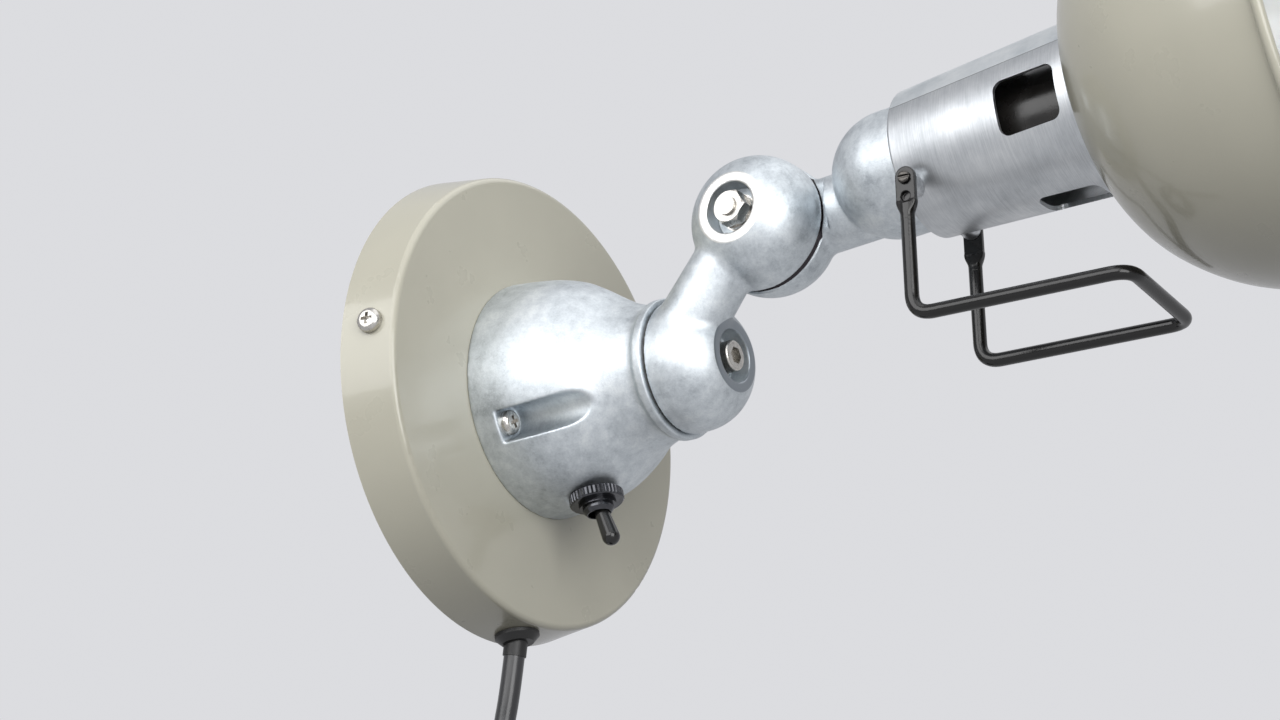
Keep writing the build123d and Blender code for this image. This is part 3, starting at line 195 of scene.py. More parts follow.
def nurbs(name, points, radius, resolution=6):
    """Round tube on one smooth open spline through control points given in millimetres."""
    data = bpy.data.curves.new(name, "CURVE")
    data.dimensions = "3D"
    spline = data.splines.new("NURBS")
    spline.points.add(len(points) - 1)
    for target, point in zip(spline.points, points):
        target.co = (*(point * MM), 1)
        target.radius = radius * MM
    spline.order_u = 3
    spline.use_endpoint_u = True
    data.bevel_depth = 1.0  # times each point's radius, which also sets the curve's bounds
    data.bevel_resolution = 6
    data.resolution_u = resolution
    data.use_fill_caps = True
    obj = bpy.data.objects.new(name, data)
    SCENE.collection.objects.link(obj)
    return obj


mains_flex = nurbs("mains_flex", [CORD_EXIT, CORD_LEAVE, CORD_AT_WALL, CORD_DOWN] + coil_points(), CORD_R)
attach(mains_flex, "wall_base")
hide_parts("mains_cord", "cord_coil")


# ---------------------------------------------------------------- fields for the castings
class Field:
    """Signed distances in millimetres on a regular grid; below zero is metal."""

    def __init__(self, low, high, voxel):
        self.low, self.voxel = low, voxel
        counts = [int((b - a) / voxel) + 1 for a, b in zip(low, high)]
        step = np.float32(voxel)
        axes = [np.float32(a) + np.arange(n, dtype=np.float32) * step for a, n in zip(low, counts)]
        self.x, self.y, self.z = np.meshgrid(*axes, indexing="ij", copy=False)

    def along(self, origin, axis):
        """Height along an axis and distance from it."""
        x, y, z = self.x - origin[0], self.y - origin[1], self.z - origin[2]
        height = x * axis[0] + y * axis[1] + z * axis[2]
        return height, np.sqrt(np.maximum(x * x + y * y + z * z - height * height, 0))

    def mesh(self, name, distance, frame=None):
        """Skin of everything below zero, as an object, carried by a frame if one is given."""
        grid = openvdb.FloatGrid()
        grid.background = 5.0
        grid.copyFromArray(np.ascontiguousarray(distance.astype(np.float32)))
        grid.transform = openvdb.createLinearTransform(voxelSize=self.voxel)
        points, quads = grid.convertToQuads(isovalue=0.0)
        points = points + np.array(self.low)
        if frame is not None:
            turn = np.array(frame)
            points = points @ turn[:3, :3].T + turn[:3, 3]
        points = points * MM
        data = bpy.data.meshes.new(name)
        data.from_pydata(points.tolist(), [], quads.tolist())
        data.validate()
        data.shade_smooth()
        obj = bpy.data.objects.new(name, data)
        SCENE.collection.objects.link(obj)
        return obj


def join(a, b, fillet):
    """Union of two fields with a fillet between them."""
    share = np.clip(0.5 + 0.5 * (b - a) / fillet, 0, 1)
    return b * (1 - share) + a * share - fillet * share * (1 - share)


def cut(a, b, edge=0.5):
    """Field a less field b, the new edges broken."""
    return -join(-a, b, edge)


def keep(a, b, edge=0.5):
    """What two fields share, the new edges broken."""
    return -join(-a, -b, edge)


TABLE_STEP = 0.2
ARC_STEPS = 24
CAST_VOXEL = 0.45
BELL_VOXEL = 0.5
FINE_VOXEL = 0.16


class Lathe:
    """Signed distance of a solid of revolution from its outline, looked up in a table."""

    def __init__(self, outline, reach, start, end):
        points = np.array(outline + [(-r, h) for r, h in outline[::-1]], float)
        following = np.roll(points, -1, 0)
        r = np.arange(0, reach, TABLE_STEP)
        h = np.arange(start, end, TABLE_STEP)
        across, high = np.meshgrid(r, h, indexing="ij")
        nearest = np.full(across.shape, 1e9)
        inside = np.zeros(across.shape, bool)
        for (r0, h0), (r1, h1) in zip(points, following):
            dr, dh = r1 - r0, h1 - h0
            square = dr * dr + dh * dh
            if square < 1e-12:
                continue
            share = np.clip(((across - r0) * dr + (high - h0) * dh) / square, 0, 1)
            nearest = np.minimum(nearest, np.hypot(across - r0 - share * dr, high - h0 - share * dh))
            if dh:
                spans = (h0 > high) != (h1 > high)
                inside ^= spans & (across < r0 + (high - h0) * dr / dh)
        self.table = np.where(inside, -nearest, nearest).astype(np.float32)
        self.start = start

    def at(self, height, radius):
        """Distance at every place of a field."""
        table = self.table
        r = np.clip(radius / TABLE_STEP, 0, table.shape[0] - 1.001)
        h = np.clip((height - self.start) / TABLE_STEP, 0, table.shape[1] - 1.001)
        i, j = r.astype(np.int32), h.astype(np.int32)
        u, v = (r - i).astype(np.float32), (h - j).astype(np.float32)
        low = table[i, j] * (1 - u) + table[i + 1, j] * u
        high = table[i, j + 1] * (1 - u) + table[i + 1, j + 1] * u
        return low * (1 - v) + high * v


def smooth_line(points, steps=10):
    """Catmull-Rom curve through (radius, height) points."""
    padded = [points[0]] + list(points) + [points[-1]]
    line = []
    for a, b, c, d in zip(padded, padded[1:], padded[2:], padded[3:]):
        for i in range(steps):
            t = i / steps
            line.append(tuple(
                0.5 * (2 * q + (r - p) * t + (2 * p - 5 * q + 4 * r - s) * t * t
                       + (3 * q - p - 3 * r + s) * t ** 3)
                for p, q, r, s in zip(a, b, c, d)
            ))
    return line + [points[-1]]


def half_outline():
    """Outline of one joint half, seam at 0."""
    rise = HALF_LENGTH - HALF_STRAIGHT
    radius = ((HALF_R - RING_R) ** 2 + rise ** 2) / (2 * (HALF_R - RING_R))
    centre = HALF_R - radius
    last = atan(rise / (RING_R - centre))
    turns = [last * i / ARC_STEPS for i in range(ARC_STEPS + 1)]
    arc = [(centre + radius * cos(turn), HALF_STRAIGHT + radius * sin(turn)) for turn in turns]
    return [(0, 0), (HALF_R, 0)] + arc + [(0, HALF_LENGTH)]


HALF = Lathe(half_outline(), reach=70, start=-30, end=60)
NEAR_AXIS = (-1, 0, 0)
FAR_AXIS = (1, 0, 0)
OUT_AXIS = (0, -1, 0)

# Fillets where castings meet, and the small radii on cut edges.
NECK_FILLET = 1.6
JOINT_FILLET = 1.4
STUB_FILLET = 1.4
DOME_FILLET = 1.2
SPLIT_EDGE = 1.1
SEAM_EDGE = 0.6
FOOT_EDGE = 0.3
SHOULDER_EDGE = 0.3
POCKET_ROUND = 0.4
POCKET_EDGE = 0.6
POCKET_PAST = 6
SCREW_HOLE_R = 2.25
SCREW_HOLE_DEPTH = 2
SCREW_HOLE_EDGE = 0.2
SEAT_EDGE = 0.6
BORE_PAST = 5


def joint_half(field, origin, axis):
    """One joint half and the cuts in it, as two fields."""
    height, radius = field.along(origin, axis)
    shell = HALF.at(height, radius)
    recess = np.maximum(radius - RECESS_R, JOINT_FLOOR - height)
    bore = np.maximum(radius - BOLT_R, -height - BORE_PAST)
    return shell, np.minimum(recess, bore)


def cast_arm():
    """Lower joint half, neck and near ball half with fillets between them."""
    field = Field((-23, -130, -23), (23, -73, 63), CAST_VOXEL)
    lower, lower_cut = joint_half(field, (0, -SEAM_Y, 0), OUT_AXIS)
    near, near_cut = joint_half(field, BALL - Vector((HALF_SEAM, 0, 0)), NEAR_AXIS)
    along = (NECK_TOP - NECK_FOOT).normalized()
    run = (NECK_TOP - NECK_FOOT).length
    height, radius = field.along(NECK_FOOT, along)
    share = np.clip(height / run, 0, 1)
    neck = radius - (NECK_FOOT_R * (1 - share) + NECK_R * share)
    neck = np.maximum(neck, np.maximum(-height - 8, height - run))
    upper = keep(join(near, neck, NECK_FILLET), field.x + HALF_SEAM, SPLIT_EDGE)
    body = join(upper, lower, JOINT_FILLET)
    body = keep(body, field.y + SEAM_Y, SEAM_EDGE)
    body = cut(cut(body, lower_cut), near_cut)
    return field.mesh("arm_cast", body)


def cast_base():
    """Bell with its flared lip, screw pockets and switch seat."""
    field = Field((-41, -76, -41), (41, -18, 41), BELL_VOXEL)
    distance, radius = field.along((0, 0, 0), OUT_AXIS)
    line = smooth_line(BELL)
    lip_top = [(LIP_R - 0.2, LIP_Y), (0, LIP_Y)]
    outline = [(0, 10), (BELL[0][0], 10)] + line + [(LIP_R, LIP_Y - LIP_T), (LIP_R, LIP_Y - 0.3)] + lip_top
    body = Lathe(outline, reach=62, start=5, end=85).at(distance, radius)
    body = keep(body, FOOT_Y - distance, FOOT_EDGE)
    for i in range(POCKET_COUNT):
        turn = radians(POCKET_FIRST + 360 / POCKET_COUNT * i)
        outward = field.x * cos(turn) + field.z * sin(turn)
        across = np.abs(field.z * cos(turn) - field.x * sin(turn))
        middle = POCKET_FLOOR_R + POCKET_WIDTH / 2
        channel = np.where(outward < middle, np.hypot(across, outward - middle), across) - POCKET_WIDTH / 2
        ends = np.maximum(POCKET_START - distance, distance - POCKET_TIP - POCKET_PAST)
        body = cut(body, keep(channel, ends, POCKET_ROUND), POCKET_EDGE)
        around = np.hypot(across, outward - POCKET_SCREW_R)
        hole = np.maximum(around - SCREW_HOLE_R, distance - POCKET_START - SCREW_HOLE_DEPTH)
        body = cut(body, hole, SCREW_HOLE_EDGE)
    depth, off = field.along(SWITCH_AT, SWITCH_AXIS)
    body = cut(body, np.maximum(off - KNURL_SEAT_R, -depth), SEAT_EDGE)
    return field.mesh("base_cast", body)


def cast_head():
    """Far ball half, stub and domed barrel."""
    field = Field((-22, -186, 17), (23, -84, 67), CAST_VOXEL)
    far, far_cut = joint_half(field, BALL + Vector((HALF_SEAM, 0, 0)), FAR_AXIS)
    height, radius = field.along(BALL + Vector((HALF_SEAM, 0, 0)), FAR_AXIS)
    far = cut(far, np.maximum(HALF_R - SHOULDER_DEPTH - radius, height - SHOULDER_WIDTH), SHOULDER_EDGE)
    height, radius = field.along(HEAD_AT, HEAD_AXIS)
    centre = DOME_START + DOME_R
    dome = np.where(height < centre, np.hypot(height - centre, radius), radius) - DOME_R
    dome = np.maximum(dome, height - BARREL_END)
    stub_at = BALL + Vector((STUB_X, 0, 0)) + HEAD_UP * STUB_RISE
    along, off = field.along(stub_at, HEAD_AXIS)
    stub = np.maximum(off - STUB_R, np.maximum(-along, along - centre))
    whole = join(far, stub, STUB_FILLET)
    ball_side = np.where(along < STUB_CLEAR, keep(whole, HALF_SEAM - field.x, SPLIT_EDGE), whole)
    body = join(ball_side, dome, DOME_FILLET)
    body = cut(body, far_cut)
    return field.mesh("head_cast", body)


arm_cast = cast_arm()
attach(arm_cast, "arm")
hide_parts("arm_casting")
base_cast = cast_base()
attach(base_cast, "wall_base")
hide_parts("base_casting")
head_cast = cast_head()
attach(head_cast, "head")
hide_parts("head_casting")


# ---------------------------------------------------------------- handle: a bent wire with flattened ends
WIRE_R = 2.15
HANDLE_HALF = 24.6
HANDLE_S = 62.4
HANDLE_DROP = 55.0
HANDLE_REACH = 66.0
HANDLE_BEND = 6.5
SKEW = radians(5.2)
NOD = radians(2.9)
EYE_TOP = -8.5
EYE_BASE = -20.5
EYE_HALF = 3.1
EYE_HALF_T = 1.05
EYE_SCREW_Z = -12.2
EYE_OPEN_Z = -18.0
EYE_HOLE_R = 1.5
WIRE_START = -25.0
SCREW_R = 1.45
SCREW_HEAD_R = 2.0
SCREW_HEAD_H = 1.3
SCREW_HEAD_EDGE = 0.9
SLOT_HALF = 0.35
SLOT_FLOOR = 0.55
SLOT_EDGE = 0.1
SHANK_TOP = 0.3
SHANK_LENGTH = 10.0
EYE_FOOT_RISE = 1
EYE_EDGE = 0.5
EYE_FILLET = 1.8
DIMPLE_FLOOR = -0.4
DIMPLE_EDGE = 0.35
WIRE_LAP = 0.5
NEAR_SIDE = Vector((-1, 0, 0))

handle_level = HEAD_AXIS * cos(NOD) - HEAD_UP * sin(NOD)
handle_axis = handle_level * cos(SKEW) - NEAR_SIDE * sin(SKEW)
handle_across = -(handle_level * sin(SKEW) + NEAR_SIDE * cos(SKEW))
handle_up = handle_axis.cross(handle_across)
handle_at = BALL + HEAD_AXIS * HANDLE_S
HANDLE = Matrix((
    (handle_across.x, handle_up.x, handle_axis.x, handle_at.x),
    (handle_across.y, handle_up.y, handle_axis.y, handle_at.y),
    (handle_across.z, handle_up.z, handle_axis.z, handle_at.z),
    (0, 0, 0, 1),
))


def bent_wire():
    """The wire below its flattened ends: straight runs and four bends."""
    half, low, far, bend = HANDLE_HALF, -HANDLE_DROP, HANDLE_REACH, 2 * HANDLE_BEND
    points = [
        (-half, WIRE_START, 0), (-half, low + bend, 0), (-half, low, 0), (-half, low, bend),
        (-half, low, far - bend), (-half, low, far), (bend - half, low, far), (half - bend, low, far),
        (half, low, far), (half, low, far - bend), (half, low, bend), (half, low, 0),
        (half, low + bend, 0), (half, WIRE_START, 0),
    ]
    return nurbs("handle_rod", [HANDLE @ Vector(point) for point in points], WIRE_R, 12)


def handle_eye(side):
    """One flattened end: the wire swells into an eye with a blind dimple."""
    field = Field((side * HANDLE_HALF - 4, -28, -5), (side * HANDLE_HALF + 4, -6, 5), FINE_VOXEL)
    x, y, z = field.x - side * HANDLE_HALF, field.y, field.z
    wire = np.maximum(np.hypot(x, z) - WIRE_R, np.maximum(y - EYE_BASE, WIRE_START - WIRE_LAP - y))
    top, foot = EYE_TOP - EYE_HALF, EYE_BASE + EYE_FOOT_RISE
    run = y - np.clip(y, foot, top)
    flat = keep(np.hypot(z, run) - EYE_HALF, np.abs(x) - EYE_HALF_T, EYE_EDGE)
    body = join(wire, flat, EYE_FILLET)
    dimple = np.maximum(np.hypot(z, y - EYE_OPEN_Z) - EYE_HOLE_R, DIMPLE_FLOOR - side * x)
    body = cut(body, dimple, DIMPLE_EDGE)
    return field.mesh("handle_eye_%s" % ("near" if side < 0 else "far"), body, HANDLE)


def handle_screw(side):
    """Slotted screw through an eye into the barrel."""
    field = Field(
        (side * HANDLE_HALF - 12, EYE_SCREW_Z - 4, -4),
        (side * HANDLE_HALF + 12, EYE_SCREW_Z + 4, 4),
        FINE_VOXEL,
    )
    out, y, z = side * field.x - HANDLE_HALF, field.y - EYE_SCREW_Z, field.z
    around = np.hypot(y, z)
    tall = np.maximum(out - EYE_HALF_T - SCREW_HEAD_H, EYE_HALF_T - out)
    head = keep(around - SCREW_HEAD_R, tall, SCREW_HEAD_EDGE)
    head = cut(head, np.maximum(np.abs(y) - SLOT_HALF, EYE_HALF_T + SLOT_FLOOR - out), SLOT_EDGE)
    shank = np.maximum(around - SCREW_R, np.maximum(out - EYE_HALF_T - SHANK_TOP, -SHANK_LENGTH - out))
    return field.mesh("handle_pin_%s" % ("near" if side < 0 else "far"), np.minimum(head, shank), HANDLE)


handle_rod = bent_wire()
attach(handle_rod, "head")
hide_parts("handle_wire")
handle_eyes = [handle_eye(-1), handle_eye(1)]
for eye in handle_eyes:
    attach(eye, "head")
handle_pins = [handle_screw(-1), handle_screw(1)]
for pin in handle_pins:
    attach(pin, "head")
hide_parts("handle_screws")

# ---------------------------------------------------------------- shade with an inside and an outside
def row(point):
    """A point given across, up and along the head, in the row frame."""
    across, high, along = point
    return (HEAD_AT + Vector((across, 0, 0)) + HEAD_UP * high + HEAD_AXIS * along) * MM


SHADE_R = 75.0
SHADE_LENGTH = 72.0
SHADE_WALL = 1.0
SHADE_BEAD_R = 1.6
SHADE_SEAT_R = 32.0
SHADE_HOLE_R = 25.6
BELL_STEPS = [(0.20, 0.035), (0.48, 0.16), (0.74, 0.38), (0.91, 0.68), (1.0, 1.0)]
BEAD_STEPS = 16
BEAD_SWEEP = 300
INNER_IN = 0.8
INNER_FORWARD = 0.75
TURNS = 160


def build_shade():
    """Enamelled bell: outside and inside skins meet in the rolled bead."""
    curve = [(SHADE_SEAT_R - SHADE_WALL, SLEEVE_END)]
    for across, along in BELL_STEPS:
        curve.append((SHADE_SEAT_R + (SHADE_R - SHADE_SEAT_R) * across, SLEEVE_END + SHADE_LENGTH * along))
    line = smooth_line(curve, 10)
    outer = [(SHADE_HOLE_R, SLEEVE_END)] + line[:-1]
    front = SLEEVE_END + SHADE_LENGTH
    bead_at = SHADE_R + SHADE_BEAD_R - SHADE_WALL
    bead = []
    for i in range(BEAD_STEPS + 1):
        turn = radians(BEAD_SWEEP * i / BEAD_STEPS - BEAD_SWEEP / 2)
        bead.append((bead_at + SHADE_BEAD_R * cos(turn), front + SHADE_BEAD_R * sin(turn)))
    inner = [(r - SHADE_WALL * INNER_IN, h + SHADE_WALL * INNER_FORWARD) for r, h in line[:-2]][::-1]
    inner += [(SHADE_HOLE_R, SLEEVE_END + SHADE_WALL)]
    ring = outer + bead + inner
    verts, faces = [], []
    for i in range(TURNS):
        turn = 2 * pi * i / TURNS
        verts += [row((r * cos(turn), r * sin(turn), h)) for r, h in ring]
    count = len(ring)
    for i in range(TURNS):
        a, b = i * count, (i + 1) % TURNS * count
        for j in range(count):
            k = (j + 1) % count
            faces.append((a + j, b + j, b + k, a + k))
    data = bpy.data.meshes.new("bell_shade")
    data.from_pydata(verts, [], faces)
    data.shade_smooth()
    for index, polygon in enumerate(data.polygons):
        polygon.material_index = 1 if index % count >= len(outer) + len(bead) else 0
    obj = bpy.data.objects.new("bell_shade", data)
    SCENE.collection.objects.link(obj)
    return obj


bell_shade = build_shade()
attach(bell_shade, "head")
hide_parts("shade")


# ---------------------------------------------------------------- materials
class Paint:
    """One node material under construction."""

    def __init__(self, name, metallic=0.0, roughness=0.4, colour=(0.5, 0.5, 0.5)):
        self.material = bpy.data.materials.new(name)
        self.material.use_nodes = True
        self.tree = self.material.node_tree
        self.shader = self.tree.nodes["Principled BSDF"]
        self.shader.inputs["Metallic"].default_value = metallic
        self.shader.inputs["Roughness"].default_value = roughness
        self.shader.inputs["Base Color"].default_value = (*colour, 1)
        self.place = self.add("ShaderNodeTexCoord").outputs["Object"]

    def add(self, kind, **values):
        """A node with its properties and input values set."""
        node = self.tree.nodes.new(kind)
        for key, value in values.items():
            if hasattr(node, key):
                setattr(node, key, value)
            elif hasattr(value, "is_linked"):
                self.tree.links.new(value, node.inputs[key.replace("_", " ")])
            else:
                node.inputs[key.replace("_", " ")].default_value = value
        return node

    def link(self, source, target):
        """Join two sockets."""
        self.tree.links.new(source, target)

    def noise(self, scale, detail=3.0, rough=0.55, place=None):
        """Noise value from 0 to 1."""
        node = self.add("ShaderNodeTexNoise", Scale=scale, Detail=detail, Roughness=rough)
        self.link(place or self.place, node.inputs["Vector"])
        return node.outputs["Fac"]

    def ramp(self, source, stops):
        """Colour ramp from (place, colour) stops."""
        node = self.add("ShaderNodeValToRGB")
        self.link(source, node.inputs["Fac"])
        marks = node.color_ramp.elements
        while len(marks) < len(stops):
            marks.new(0.5)
        for mark, (at, colour) in zip(marks, stops):
            mark.position = at
            mark.color = (*colour, 1)
        return node.outputs["Color"]

    def span(self, source, low, high, to_low, to_high):
        """Map a value range onto another."""
        node = self.add("ShaderNodeMapRange")
        node.inputs["From Min"].default_value = low
        node.inputs["From Max"].default_value = high
        node.inputs["To Min"].default_value = to_low
        node.inputs["To Max"].default_value = to_high
        self.link(source, node.inputs["Value"])
        return node.outputs["Result"]

    def maths(self, operation, a, b):
        """One arithmetic step on sockets or numbers."""
        node = self.add("ShaderNodeMath", operation=operation)
        for index, value in enumerate((a, b)):
            if hasattr(value, "is_linked"):
                self.link(value, node.inputs[index])
            else:
                node.inputs[index].default_value = value
        return node.outputs["Value"]

    def mix(self, share, a, b):
        """Blend two colours."""
        node = self.add("ShaderNodeMix", data_type="RGBA")
        for name, value in (("Factor", share), ("A", a), ("B", b)):
            socket = [s for s in node.inputs if s.name == name and s.enabled][0]
            if hasattr(value, "is_linked"):
                self.link(value, socket)
            else:
                socket.default_value = value if name == "Factor" else (*value, 1)
        return [s for s in node.outputs if s.enabled][0]

    def height(self, axis):
        """Distance along an axis through the origin, in metres."""
        node = self.add("ShaderNodeVectorMath", operation="DOT_PRODUCT")
        self.link(self.place, node.inputs[0])
        node.inputs[1].default_value = axis
        return node.outputs["Value"]

    def away(self, axis, centre):
        """Distance from the line through a place (mm) along an axis."""
        offset = self.add("ShaderNodeVectorMath", operation="SUBTRACT")
        self.link(self.place, offset.inputs[0])
        offset.inputs[1].default_value = centre * MM
        cross = self.add("ShaderNodeVectorMath", operation="CROSS_PRODUCT")
        self.link(offset.outputs["Vector"], cross.inputs[0])
        cross.inputs[1].default_value = axis
        length = self.add("ShaderNodeVectorMath", operation="LENGTH")
        self.link(cross.outputs["Vector"], length.inputs[0])
        return length.outputs["Value"]

    def bump(self, source, depth, strength=1.0, under=None):
        """Bump of a depth in metres."""
        node = self.add("ShaderNodeBump")
        node.inputs["Strength"].default_value = strength
        node.inputs["Distance"].default_value = depth
        self.link(source, node.inputs["Height"])
        if under:
            self.link(under, node.inputs["Normal"])
        self.link(node.outputs["Normal"], self.shader.inputs["Normal"])
        return node.outputs["Normal"]

    def colour(self, source):
        """Drive the base colour."""
        self.link(source, self.shader.inputs["Base Color"])

    def rough(self, source):
        """Drive the roughness."""
        self.link(source, self.shader.inputs["Roughness"])


def dress(material, *pieces):
    """Give pieces one material."""
    for piece in pieces:
        obj = NODES[piece] if isinstance(piece, str) else piece
        obj.data.materials.clear()
        obj.data.materials.append(material)


FACE_DEPTH = 0.35
FACE_AT_BALL = (HALF_SEAM + HALF_LENGTH - FACE_DEPTH) * MM
FACE_AT_BASE = (SEAM_Y + HALF_LENGTH - FACE_DEPTH) * MM
FACE_MARGIN = 0.4
SEAM_MARGIN = 0.1
BRIGHT_FACE = (0.84, 0.84, 0.82)
# Darker copy of the turned face colour for the arm's lower end face: painted shade standing in for that
# face's dark reflection.
TURNED_FACE_PAINTED_SHADE = (0.30, 0.33, 0.36)
SEAM_SHADE = (0.05, 0.045, 0.05)
GREY_GREEN = (0.445, 0.430, 0.352)
SHARP_ANGLE = radians(32)


def cast_metal(name, faces=(), seam=None):
    """Tumbled light alloy casting, cloudy and a little blue, with turned end faces.

    A face is an axis, the height along it where the turned metal starts, a place on the axis and a colour.
    A seam is an axis, the height along it up to which the shoulder at the joint is dark, and a place on it.
    """
    paint = Paint(name, metallic=1.0)
    clouds = paint.noise(44, 6, 0.7)
    grain = paint.noise(260, 8, 0.74)
    fine = paint.noise(1500, 5, 0.7)
    tone = paint.maths("ADD", paint.maths("MULTIPLY", clouds, 0.42), paint.maths("MULTIPLY", grain, 0.40))
    tone = paint.maths("ADD", tone, paint.maths("MULTIPLY", fine, 0.18))
    colour = paint.ramp(tone, [
        (0.38, (0.40, 0.435, 0.465)), (0.46, (0.54, 0.58, 0.61)),
        (0.53, (0.63, 0.67, 0.70)), (0.62, (0.75, 0.785, 0.80)),
    ])
    rough = paint.span(tone, 0.38, 0.62, 0.42, 0.54)
    for axis, start, centre, tone_there in faces:
        turned = paint.maths("GREATER_THAN", paint.height(axis), start)
        near = paint.maths("LESS_THAN", paint.away(axis, centre), (RING_R + FACE_MARGIN) * MM)
        turned = paint.maths("MULTIPLY", turned, near)
        colour = paint.mix(turned, colour, tone_there)
        rough = paint.maths("ADD", rough, paint.maths("MULTIPLY", turned, -0.14))
    if seam:
        axis, end, centre = seam
        shaded = paint.maths("LESS_THAN", paint.height(axis), end)
        near = paint.maths("LESS_THAN", paint.away(axis, centre), HALF_R * MM)
        shaded = paint.maths("MULTIPLY", shaded, near)
        colour = paint.mix(shaded, colour, SEAM_SHADE)
    paint.colour(colour)
    paint.rough(rough)
    under = paint.bump(grain, 0.00018, 0.5)
    paint.bump(fine, 0.00008, 0.5, under)
    return paint.material


def enamel(name, colour, roughness=0.3, coat=0.6):
    """Sprayed enamel with a faint orange peel."""
    paint = Paint(name, roughness=roughness)
    cloud = paint.noise(16, 3)
    dark = tuple(c * 0.96 for c in colour)
    light = tuple(min(1, c * 1.03) for c in colour)
    paint.colour(paint.ramp(cloud, [(0.35, dark), (0.65, light)]))
    paint.rough(paint.span(paint.noise(60, 4), 0.3, 0.7, roughness - 0.04, roughness + 0.05))
    paint.bump(paint.noise(900, 2), 0.00003, 0.12)
    paint.shader.inputs["Coat Weight"].default_value = coat
    paint.shader.inputs["Coat Roughness"].default_value = 0.09
    return paint.material


def plated(name, colour, roughness=0.2):
    """Plated or bare steel hardware with handling marks."""
    paint = Paint(name, metallic=1.0, roughness=roughness)
    marks = paint.noise(700, 5, 0.65)
    dark = tuple(c * 0.72 for c in colour)
    paint.colour(paint.ramp(marks, [(0.35, dark), (0.6, colour)]))
    paint.rough(paint.span(marks, 0.3, 0.7, roughness + 0.12, roughness - 0.04))
    paint.bump(paint.noise(2400, 3), 0.00005, 0.4)
    return paint.material


def moulded(name, colour, roughness=0.4, grain=1500, depth=0.00005, coat=0.0):
    """Rubber, plastic or paint with a fine grain."""
    paint = Paint(name, roughness=roughness)
    cloud = paint.noise(120, 4)
    light = tuple(c * 1.5 + 0.001 for c in colour)
    paint.colour(paint.ramp(cloud, [(0.35, colour), (0.7, light)]))
    paint.rough(paint.span(cloud, 0.3, 0.7, roughness - 0.05, roughness + 0.08))
    paint.bump(paint.noise(grain, 3), depth, 0.5)
    paint.shader.inputs["Coat Weight"].default_value = coat
    paint.shader.inputs["Coat Roughness"].default_value = roughness * 0.6
    return paint.material


def turned_steel(name):
    """Turned tube: fine rings round the head, long soft streaks of light along it, and a painted reflection
    band: one side lighter, its edge a thin painted dark line.
    """
    paint = Paint(name, metallic=1.0)
    split = paint.add("ShaderNodeSeparateXYZ")
    paint.link(paint.place, split.inputs["Vector"])
    place = paint.add("ShaderNodeCombineXYZ")
    paint.link(paint.height(tuple(HEAD_AXIS)), place.inputs["X"])
    paint.link(paint.maths("MULTIPLY", split.outputs["X"], 0.03), place.inputs["Y"])
    paint.link(paint.maths("MULTIPLY", split.outputs["Z"], 0.03), place.inputs["Z"])
    rings = paint.noise(3600, 5, 0.75, place.outputs["Vector"])
    clouds = paint.noise(70, 5, 0.6)
    tone = paint.maths("ADD", paint.maths("MULTIPLY", rings, 0.5), paint.maths("MULTIPLY", clouds, 0.5))
    brushed = paint.ramp(tone, [
        (0.34, (0.40, 0.42, 0.44)), (0.5, (0.54, 0.56, 0.58)), (0.66, (0.68, 0.695, 0.705)),
    ])
    # Painted reflection: the lighter colour, without rings, of the side above the line along the tube.
    painted_reflection_side = paint.ramp(clouds, [
        (0.34, (0.52, 0.555, 0.58)), (0.5, (0.64, 0.67, 0.69)), (0.66, (0.74, 0.765, 0.78)),
    ])
    # Painted reflection band: above a plane through the head's axis the tube takes the lighter colour and
    # more roughness, and a thin dark line is painted along its edge.
    edge = HEAD_UP * cos(PAINTED_BAND_TURN) + Vector((1, 0, 0)) * sin(PAINTED_BAND_TURN)
    above = paint.maths("SUBTRACT", paint.height(tuple(edge)), HEAD_AT.dot(edge) * MM)
    upper = paint.span(above, -0.0001, 0.0001, 0, 1)
    line = paint.maths("LESS_THAN", paint.maths("ABSOLUTE", above, 0.0), 0.00018)
    paint.colour(paint.mix(line, paint.mix(upper, brushed, painted_reflection_side), (0.30, 0.31, 0.32)))
    rough = paint.span(tone, 0.3, 0.7, 0.42, 0.31)
    paint.rough(paint.maths("ADD", rough, paint.maths("MULTIPLY", upper, 0.1)))
    paint.bump(rings, 0.00004, 0.35)
    paint.shader.inputs["Anisotropic"].default_value = 0.4
    coords = paint.add("ShaderNodeTexCoord")
    cross = paint.add("ShaderNodeVectorMath", operation="CROSS_PRODUCT")
    cross.inputs[0].default_value = HEAD_AXIS
    paint.link(coords.outputs["Normal"], cross.inputs[1])
    turn = paint.add(
        "ShaderNodeVectorTransform", vector_type="VECTOR", convert_from="OBJECT", convert_to="WORLD"
    )
    paint.link(cross.outputs["Vector"], turn.inputs["Vector"])
    paint.link(turn.outputs["Vector"], paint.shader.inputs["Tangent"])
    return paint.material


def glass(name, colour):
    """Opal bulb glass."""
    paint = Paint(name, roughness=0.25, colour=colour)
    paint.shader.inputs["Transmission Weight"].default_value = 0.35
    paint.shader.inputs["Subsurface Weight"].default_value = 0.1
    paint.bump(paint.noise(80, 2), 0.00005, 0.3)
    return paint.material


